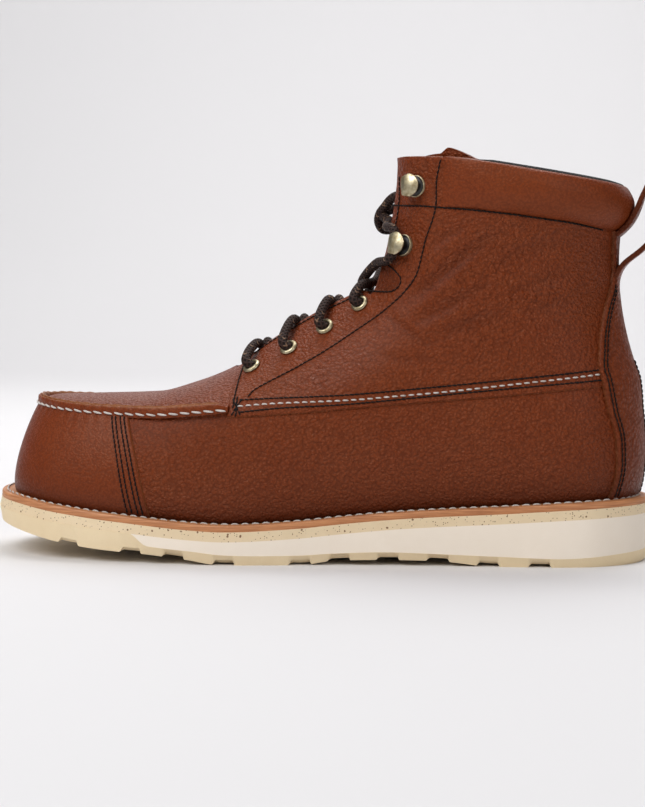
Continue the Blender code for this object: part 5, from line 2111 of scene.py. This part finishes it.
@dataclass
class Fittings:
    """Brass eyelets and speed hooks."""

    last: Last
    finishes: Finishes
    eyelet: Profile = (
        (2.35, 0.9), (2.5, 1.35), (2.85, 1.6), (3.3, 1.62), (3.8, 1.4), (4.15, 0.95), (4.25, 0.6),
        (4.0, 0.45), (2.9, 0.4), (2.7, -2.6), (2.35, -2.6),
    )
    base: Profile = (
        (0.0, 1.9), (2.4, 1.85), (3.7, 1.6), (4.35, 1.1), (4.6, 0.5), (4.6, 0.0), (0.0, 0.0),
    )
    rim: Profile = ((4.6, -1.3), (5.0, -1.3), (5.0, 0.1), (4.85, 0.35), (4.6, 0.35))
    crook: Route = (
        (0.2, 0.8, 2.8), (2.6, 0.9, 3.0), (4.0, 1.9, 3.2), (4.4, 3.3, 3.6), (3.8, 4.5, 4.4), (2.2, 5.0, 5.0),
        (0.4, 5.1, 5.3), (-1.9, 4.7, 4.2), (-4.5, 3.6, 1.6),
    )
    dome: float = 5.3
    plate: float = 0.9
    leans: tuple[float, float] = (3.0, -7.0)
    lifts: tuple[float, float] = (1.1, 0.0)

    def build(self) -> None:
        """Build, copy and dress the fittings."""
        last = self.last
        ring = turned("eyelet", self.eyelet, 36, True)
        disc = turned("hook_base", self.base, 36, False)
        crook = join("crook", [self.crook_plate(), turned("hook_rim", self.rim, 36, True)])
        for k, stay in enumerate(EYELETS):
            for side, word in SIDES:
                place = last.place(last.stay_point(stay, side, 0.0))
                name = f"eyelet_{word}_{k + 1}"
                copy = stamped(f"brass_{name}", ring, last.stay_axes(stay, side), place)
                dress(copy, (self.finishes.brass,), Slot.BRASS, name)
        bases = []
        for k, stay in enumerate(HOOKS):
            for side, word in SIDES:
                place = last.place(last.stay_point(stay, side, self.lifts[k]))
                name = f"hook_{word}_{k + 1}"
                axes = last.stay_axes(stay, side)
                lean = math.copysign(math.radians(self.leans[k]), -axes[1][2])
                towards = math.cos(lean) * axes[0] + math.sin(lean) * axes[1]
                axes = np.array((towards, np.cross(axes[2], towards), axes[2]))
                copy = stamped(f"brass_{name}", crook, axes, place)
                dress(copy, (self.finishes.brass,), Slot.BRASS, name)
                low = last.place(last.stay_point(stay, side, -0.3))
                bases.append(stamped(f"base_{name}", disc, axes, low))
        # painted shade: the hook bases are dressed black
        dress(join("hook_bases", bases), (self.finishes.black,), None)
        for model in (ring, disc, crook):
            bpy.data.objects.remove(model)

    def crook_plate(self) -> Object:
        """The bent plate of a hook, domed where it turns back over its base.

        Returns:
            The plate at the origin, in metres.
        """
        bends = np.array(self.crook)
        path = even_path(np.stack((bends[:, 0], np.zeros(len(bends)), bends[:, 1]), -1), 0.25)
        run = np.linspace(0.0, 1.0, len(path))
        width = np.interp(run, np.linspace(0.0, 1.0, len(bends)), bends[:, 2])
        is_dome = (path[:, 0] < 0.4) & (run > 0.5)
        round_end = np.minimum(ramp(path[:, 0], 0.4, bends[-1, 0] - 0.4), 0.995)
        width = np.where(is_dome, self.dome * np.sqrt(1.0 - round_end**2), width)
        across = bordered(-1.0, 1.0, 16, 0.12)
        half = self.plate * (0.2 + rounded(0.3, 1.0 - np.abs(across), 0.12))[:, None]
        aside = across[:, None] * width
        crown = (1.0 - (aside / self.dome) ** 2) * ramp(run, 0.3, 0.3)
        plate = Skin(path + np.array((0.0, 1.0, 0.0)) * aside[..., None], level_normals(path))
        return sheet("crook", plate.off(crown + half) * MM, plate.off(crown - half) * MM)


@dataclass
class Lacing:
    """One lace through the eyelets, over the lower hooks and into a half knot."""

    last: Last
    finishes: Finishes
    radius: float = 2.2
    on_tongue: float = -1.5
    over_edge: float = 3.6
    inside_edge: float = 0.5
    over_stay: float = 3.4
    tuck: float = 3.4
    dip: float = 4.5
    upper_rise: float = 0.8
    lower_rise: float = -3.2
    cross_parts: tuple[float, float, float, float] = (0.08, 0.22, 0.55, 0.85)
    eyelet_stops: Profile = ((-4.4, 0.6), (0.4, 0.0), (3.4, 1.8))
    top_cross_inner: tuple[float, float] = (0.544, 6.6)
    top_cross_outer: tuple[float, float] = (0.556, 1.6)
    hook_edge: tuple[float, float] = (0.573, 13.0)
    hook_stops: Profile = ((-6.6, 5.2), (0.0, 1.7), (6.8, 4.6))
    knot_edge: tuple[float, float, float] = (0.607, 13.6, 3.2)
    outer_knot: Route = (
        (35.9, -6.0, 156.0), (32.9, -1.0, 157.9), (30.9, 6.0, 160.4), (33.2, 8.0, 161.4), (36.9, 5.0, 162.4),
        (40.6, 0.0, 163.0), (43.2, -2.0, 163.2),
    )
    inner_knot: Route = (
        (35.2, 14.5, 152.6), (30.6, 9.5, 152.8), (29.2, 5.0, 156.0), (30.1, 2.0, 159.7), (33.1, -1.0, 163.1),
        (35.9, -4.0, 166.0), (38.9, -7.0, 167.6), (42.2, -8.0, 167.4), (45.0, -8.6, 166.6),
    )

    def round_hook(self, side: float) -> list[Array]:
        """Stops round a lower hook's crook.

        Args:
            side: -1 for the outer side, 1 for the inner one.

        Returns:
            Points in millimetres, from below the hook to above it.
        """
        towards, along, _ = self.last.stay_axes(HOOKS[0], side)
        base = self.last.stay_point(HOOKS[0], side, self.over_stay)
        along = along * math.copysign(1.0, along[2])
        return [base + along * up + towards * reach for up, reach in self.hook_stops]

    def through(self, k: int, side: float) -> list[Array]:
        """Stops up through an eyelet from under the leather.

        Args:
            k: the eyelet's number from the toe, from 0.
            side: -1 for the outer side, 1 for the inner one.

        Returns:
            Points in millimetres.
        """
        hole = EYELETS[k]
        towards = self.last.stay_axes(hole, side)[0]
        return [self.last.stay_point(hole, side, up) + towards * reach for up, reach in self.eyelet_stops]

    def by_edge(self, share: float, inside: float, side: float, offset: float) -> Array:
        """A point so far inside the throat's edge and off the upper's closed form."""
        return self.last.over_throat(share, float(self.last.throat_gap(share)) - inside, side, offset)

    def crossing(self, k: int, side: float) -> list[Array]:
        """Stops from one eyelet over its edge, across the throat and under the far edge.

        Args:
            k: the eyelet's number from the toe, from 0.
            side: -1 for the outer side, 1 for the inner one.

        Returns:
            Points in millimetres.
        """
        low, high = EYELETS[k].share, EYELETS[k + 1].share
        near, inside, middle, far = (low + part * (high - low) for part in self.cross_parts)
        rise = self.upper_rise if side < 0.0 else self.lower_rise
        return [
            self.by_edge(near, 0.0, side, self.over_edge),
            self.by_edge(inside, self.dip, side, self.inside_edge),
            self.last.over_throat(middle, 0.0, side, rise),
            self.by_edge(far, self.tuck, -side, self.on_tongue),
        ]

    def route(self, side: float) -> list[Array]:
        """Every stop of one half of the lace.

        Args:
            side: -1 for the half that starts on the outer side, 1 for the other.

        Returns:
            Stops in millimetres, from the bottom bar to the half knot's end.
        """
        over_throat = self.last.over_throat
        bar, top = EYELETS[0].share, EYELETS[-1].share
        stops = [
            over_throat(bar, 0.05, side, self.on_tongue),
            self.by_edge(bar, self.tuck, side, self.on_tongue),
        ]
        for k in range(len(EYELETS) - 1):
            stops += self.through(k, side) + self.crossing(k, side)
            side = -side
        stops += self.through(len(EYELETS) - 1, side)
        middle, rise = self.top_cross_inner if side > 0.0 else self.top_cross_outer
        stops += [
            over_throat(top + 0.001, float(self.last.throat_gap(top)), side, self.over_edge),
            over_throat(middle, 0.0, side, rise),
            over_throat(*self.hook_edge, -side, self.over_edge),
            *self.round_hook(-side),
        ]
        if side < 0.0:
            return stops + [np.array(stop) for stop in self.inner_knot]
        share, width, clear = self.knot_edge
        stops.append(over_throat(share, width, -side, clear))
        return stops + [np.array(stop) for stop in self.outer_knot]

    def build(self) -> None:
        """Lay and dress both halves of the lace."""
        nodes = (("lace_bar", "lace_1", "lace_2"), ("lace_3", "lace_4", "lace_knot"))
        for (side, word), stood_for in zip(SIDES, nodes):
            path = self.last.place(even_path(np.array(self.route(side)), 1.1))
            piece = tube(f"lace_{word}_half", path, self.radius * MM)
            dress(piece, (self.finishes.braid,), Slot.LACE, *stood_for)


@dataclass
class Sole:
    """Welt, speckled midsole, foam wedge and tread."""

    last: Last
    finishes: Finishes
    welt_thick: float = 3.0
    midsole_thick: float = 4.2
    wedge_tip: float = -75.6
    edge_round: float = 0.45
    tread_inset: float = 1.6
    grooves: tuple[float, ...] = (-107.0, -76.0, -56.0, -33.0, 1.0, 18.5, 40.5, 63.0, 85.5, 108.5)
    groove_width: float = 9.6
    groove_depth: float = 2.5
    groove_sweep: tuple[float, float] = (9.0, 70.0)
    groove_flanks: tuple[float, float] = (0.16, 0.07)
    groove_rim: tuple[float, float] = (1.5, 1.6)
    groove_shoal: float = 0.7

    def midsole_bottom(self, x: Array) -> Array:
        """Underside of the midsole."""
        return self.last.welt_top(x) - self.welt_thick - self.last.seat - self.midsole_thick

    def level(self, shares: Array, inset: Array) -> Array:
        """A flat net inside the sole's outline.

        Args:
            shares: shares from toe to heel.
            inset: millimetres inwards from the outline.

        Returns:
            Nine rows of points at height 0.
        """
        x, width = self.last.plan(shares, inset)
        across = np.array((-1.0, -0.965, -0.93, -0.5, 0.0, 0.5, 0.93, 0.965, 1.0))[:, None]
        return np.stack(np.broadcast_arrays(x[None], across * width, 0.0), -1)

    def toe_set(self, shares: Array) -> Array:
        """How far the upper layers stand back from the tread round the toe."""
        return 1.9 * ramp(shares, 0.2, -0.2)

    def tread_bottom(self, points: Array) -> Array:
        """Underside of the tread: swept grooves, sloped in front, steep behind and deepest at the edges.

        Args:
            points: a net of points across the sole.

        Returns:
            Their heights.
        """
        x, y = points[..., 0], np.abs(points[..., 1])
        sweep, reach = self.groove_sweep
        depth = np.zeros(x.shape)
        inside = y.max(axis=0) - y
        for centre in self.grooves:
            part = (x - centre + sweep * inside / reach) / self.groove_width
            front, rear = self.groove_flanks
            depth = np.maximum(depth, ramp(part, -0.55, front) * ramp(part, 0.5, -rear))
        shoal = 1.0 - self.groove_shoal * ramp(inside, *self.groove_rim)
        return self.last.ground(x) + self.groove_depth * depth * shoal

    def slab(self, name: str, upper: Array, lower: Array) -> Object:
        """A layer of the sole with softened edges.

        Args:
            name: the piece's name.
            upper: net of the upper face.
            lower: net of the lower face.

        Returns:
            The finished piece.
        """
        piece = sheet(name, self.last.place(upper), self.last.place(lower), sharp=35.0)
        activate(piece)
        soften = piece.modifiers.new("softened", "BEVEL")
        soften.width = self.edge_round * MM
        soften.segments = 2
        soften.limit_method = "ANGLE"
        soften.angle_limit = math.radians(50.0)
        bpy.ops.object.modifier_apply(modifier=soften.name)
        bpy.ops.object.shade_smooth_by_angle(angle=math.radians(50.0))
        return piece

    def build(self) -> None:
        """Build and dress the layers and the welt, and give the insole its cloth."""
        last = self.last
        half = last.sole_length / 2.0
        shares = np.linspace(0.0, 1.0, 181)
        upper = self.level(shares, 0.3 + self.toe_set(shares))
        upper[..., 2] = last.welt_top(upper[..., 0]) - self.welt_thick
        lower = self.level(shares, 0.3 + 0.4 * self.toe_set(shares))
        lower[..., 2] = self.midsole_bottom(lower[..., 0])
        dress(self.slab("midsole_layer", upper, lower), (self.finishes.speckled,), Slot.SPECKLED, "midsole")
        tip = float(share_of(self.wedge_tip, -half, half))
        upper = self.level(np.linspace(tip, 1.0, 150), 0.2)
        lower = upper.copy()
        upper[..., 2] = self.midsole_bottom(upper[..., 0]) + 0.02
        lower[..., 2] = np.minimum(self.wedge_bottom(upper[..., 0]), upper[..., 2] - 0.1)
        dress(self.slab("wedge_layer", upper, lower), (self.finishes.foam,), Slot.FOAM, "wedge")
        shares = np.linspace(0.0, 1.0, 760)
        upper = self.level(shares, 0.1 + 0.4 * self.toe_set(shares))
        lower = self.level(shares, self.tread_inset)
        x = upper[..., 0]
        upper[..., 2] = np.where(x < self.wedge_tip, self.midsole_bottom(x), self.wedge_bottom(x)) + 0.02
        lower[..., 2] = self.tread_bottom(lower)
        dress(self.slab("tread_layer", upper, lower), (self.finishes.tread,), Slot.RUBBER, "outsole")
        self.build_welt()
        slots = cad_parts["insole"].data.materials
        slots.clear()
        slots.append(self.finishes.sock)

    def wedge_bottom(self, x: Array) -> Array:
        """Underside of the foam wedge."""
        return self.midsole_bottom(x) - self.last.wedge_depth(x) + 0.25

    def build_welt(self) -> None:
        """The welt: a waxed strip all round with rounded corners and a sewing groove."""
        last = self.last
        turns = np.linspace(0.0, 2.0, 361)
        share = last.share_at(turns)
        margin = last.margin(share)
        corners = ((0.62, -3.0), (0.5, -2.6), (0.45, -1.5), (0.55, -0.5), (0.9, -0.1), (1.6, 0.0))
        groove = ((0.36, 0.0), (0.40, -0.25), (0.44, -0.25), (0.48, 0.0))
        inner = ((3.4, 0.0), (3.4, -3.0))
        rings = []
        set_back = self.toe_set(share)
        for inset, up in corners:
            rings.append((inset + set_back, up))
        for part, up in groove:
            rings.append((part * margin + 0.5 * set_back, up))
        for extra, up in inner:
            rings.append((margin + extra, up))
        points = []
        for inset, up in rings:
            x, width = last.plan(share, inset)
            points.append(np.stack((x, np.where(turns <= 1.0, -width, width), last.welt_top(x) + up), -1))
        piece = loop_band("welt_strip", last.place(np.array(points)), 40.0)
        dress(piece, (self.finishes.welt,), Slot.WELT, "welt")


@dataclass
class Studio:
    """Camera at the photograph's angle, pale sweep and soft light."""

    last: Last
    finishes: Finishes
    distance: float = 0.95
    angle: float = 10.0
    height: float = 0.130
    focal_pixels: float = 2004.0
    centre_column: float = 317.0
    horizon_row: float = 277.5
    image: tuple[int, int] = (645, 807)
    sensor: float = 36.0

    def build(self) -> None:
        """Set up the camera, sweep and lights."""
        self.build_camera()
        self.build_sweep()
        self.build_lights()

    def build_camera(self) -> None:
        """The camera, level but for a slight look down."""
        turn = math.radians(self.angle)
        pitch = math.atan((self.image[1] / 2.0 - self.horizon_row) / self.focal_pixels)
        yaw = math.atan((self.image[0] / 2.0 - self.centre_column) / self.focal_pixels)
        data = bpy.data.cameras.new("camera")
        data.sensor_width = self.sensor
        data.lens = self.focal_pixels * self.sensor / self.image[1]
        camera = new_object("camera", data)
        x, y = self.last.shift
        reach = (self.distance * math.sin(turn), -self.distance * math.cos(turn))
        camera.location = (x * MM + reach[0], y * MM + reach[1], self.height)
        camera.rotation_euler = (math.pi / 2.0 - pitch, 0.0, turn - yaw)
        bpy.context.scene.camera = camera

    def build_sweep(self) -> None:
        """Floor and backdrop as one pale sweep."""
        flat = np.linspace(-3.0, 1.6, 30)
        curve = np.linspace(0.0, math.pi / 2.0, 16)[1:]
        y = np.concatenate((flat, 1.6 + 0.7 * np.sin(curve), [2.3]))
        z = np.concatenate((np.zeros(30), 0.7 * (1.0 - np.cos(curve)), [3.5]))
        x = np.linspace(-3.5, 3.5, 24)
        points = np.stack(np.broadcast_arrays(x[None], y[:, None], z[:, None]), -1)
        sweep = net_piece("sweep", points)
        bpy.ops.object.shade_smooth()
        sweep.data.materials.append(self.finishes.paper)

    def build_lights(self) -> None:
        """Large soft lights in front, above and on the backdrop, and an even surround."""
        world = bpy.data.worlds.new("surround")
        world.use_nodes = True
        world.node_tree.nodes["Background"].inputs["Color"].default_value = (1.0, 0.99, 1.0, 1.0)
        world.node_tree.nodes["Background"].inputs["Strength"].default_value = 0.07
        bpy.context.scene.world = world
        boot = (0.0, 0.0, 0.08)
        lights = (
            ("key", (-0.9, -1.2, 1.5), boot, 1.4, 32.0),
            ("top", (0.1, 0.6, 1.6), boot, 1.3, 12.0),
            ("fill", (1.3, -1.2, 0.9), boot, 1.2, 8.0),
            ("backdrop", (-0.2, 0.9, 2.2), (-0.3, 2.4, 0.8), 2.0, 40.0),
        )
        for name, place, target, size, power in lights:
            data = bpy.data.lights.new(name, "AREA")
            data.size = size
            data.energy = power
            lamp = new_object(name, data)
            lamp.location = place
            aim = np.array(target) - np.array(place)
            lamp.rotation_euler = (math.acos(-aim[2] / np.linalg.norm(aim)), 0.0, math.atan2(-aim[0], aim[1]))
        bpy.context.scene.view_settings.view_transform = "Standard"


def main() -> None:
    """Build the boot's pieces in order."""
    logging.basicConfig(level=logging.INFO, format="%(name)s %(message)s")
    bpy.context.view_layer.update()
    sole_box, loop_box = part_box("outsole"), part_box("pull_loop")
    shift = (0.5 * (sole_box[0].x + sole_box[1].x) / MM, 0.5 * (loop_box[0].y + loop_box[1].y) / MM)
    last = Last(shift)
    finishes = Finishes()
    for part in (Studio, Lacing, Upper, Fittings, Stitching, Sole):
        part(last, finishes).build()


if __name__ == "__main__":
    main()
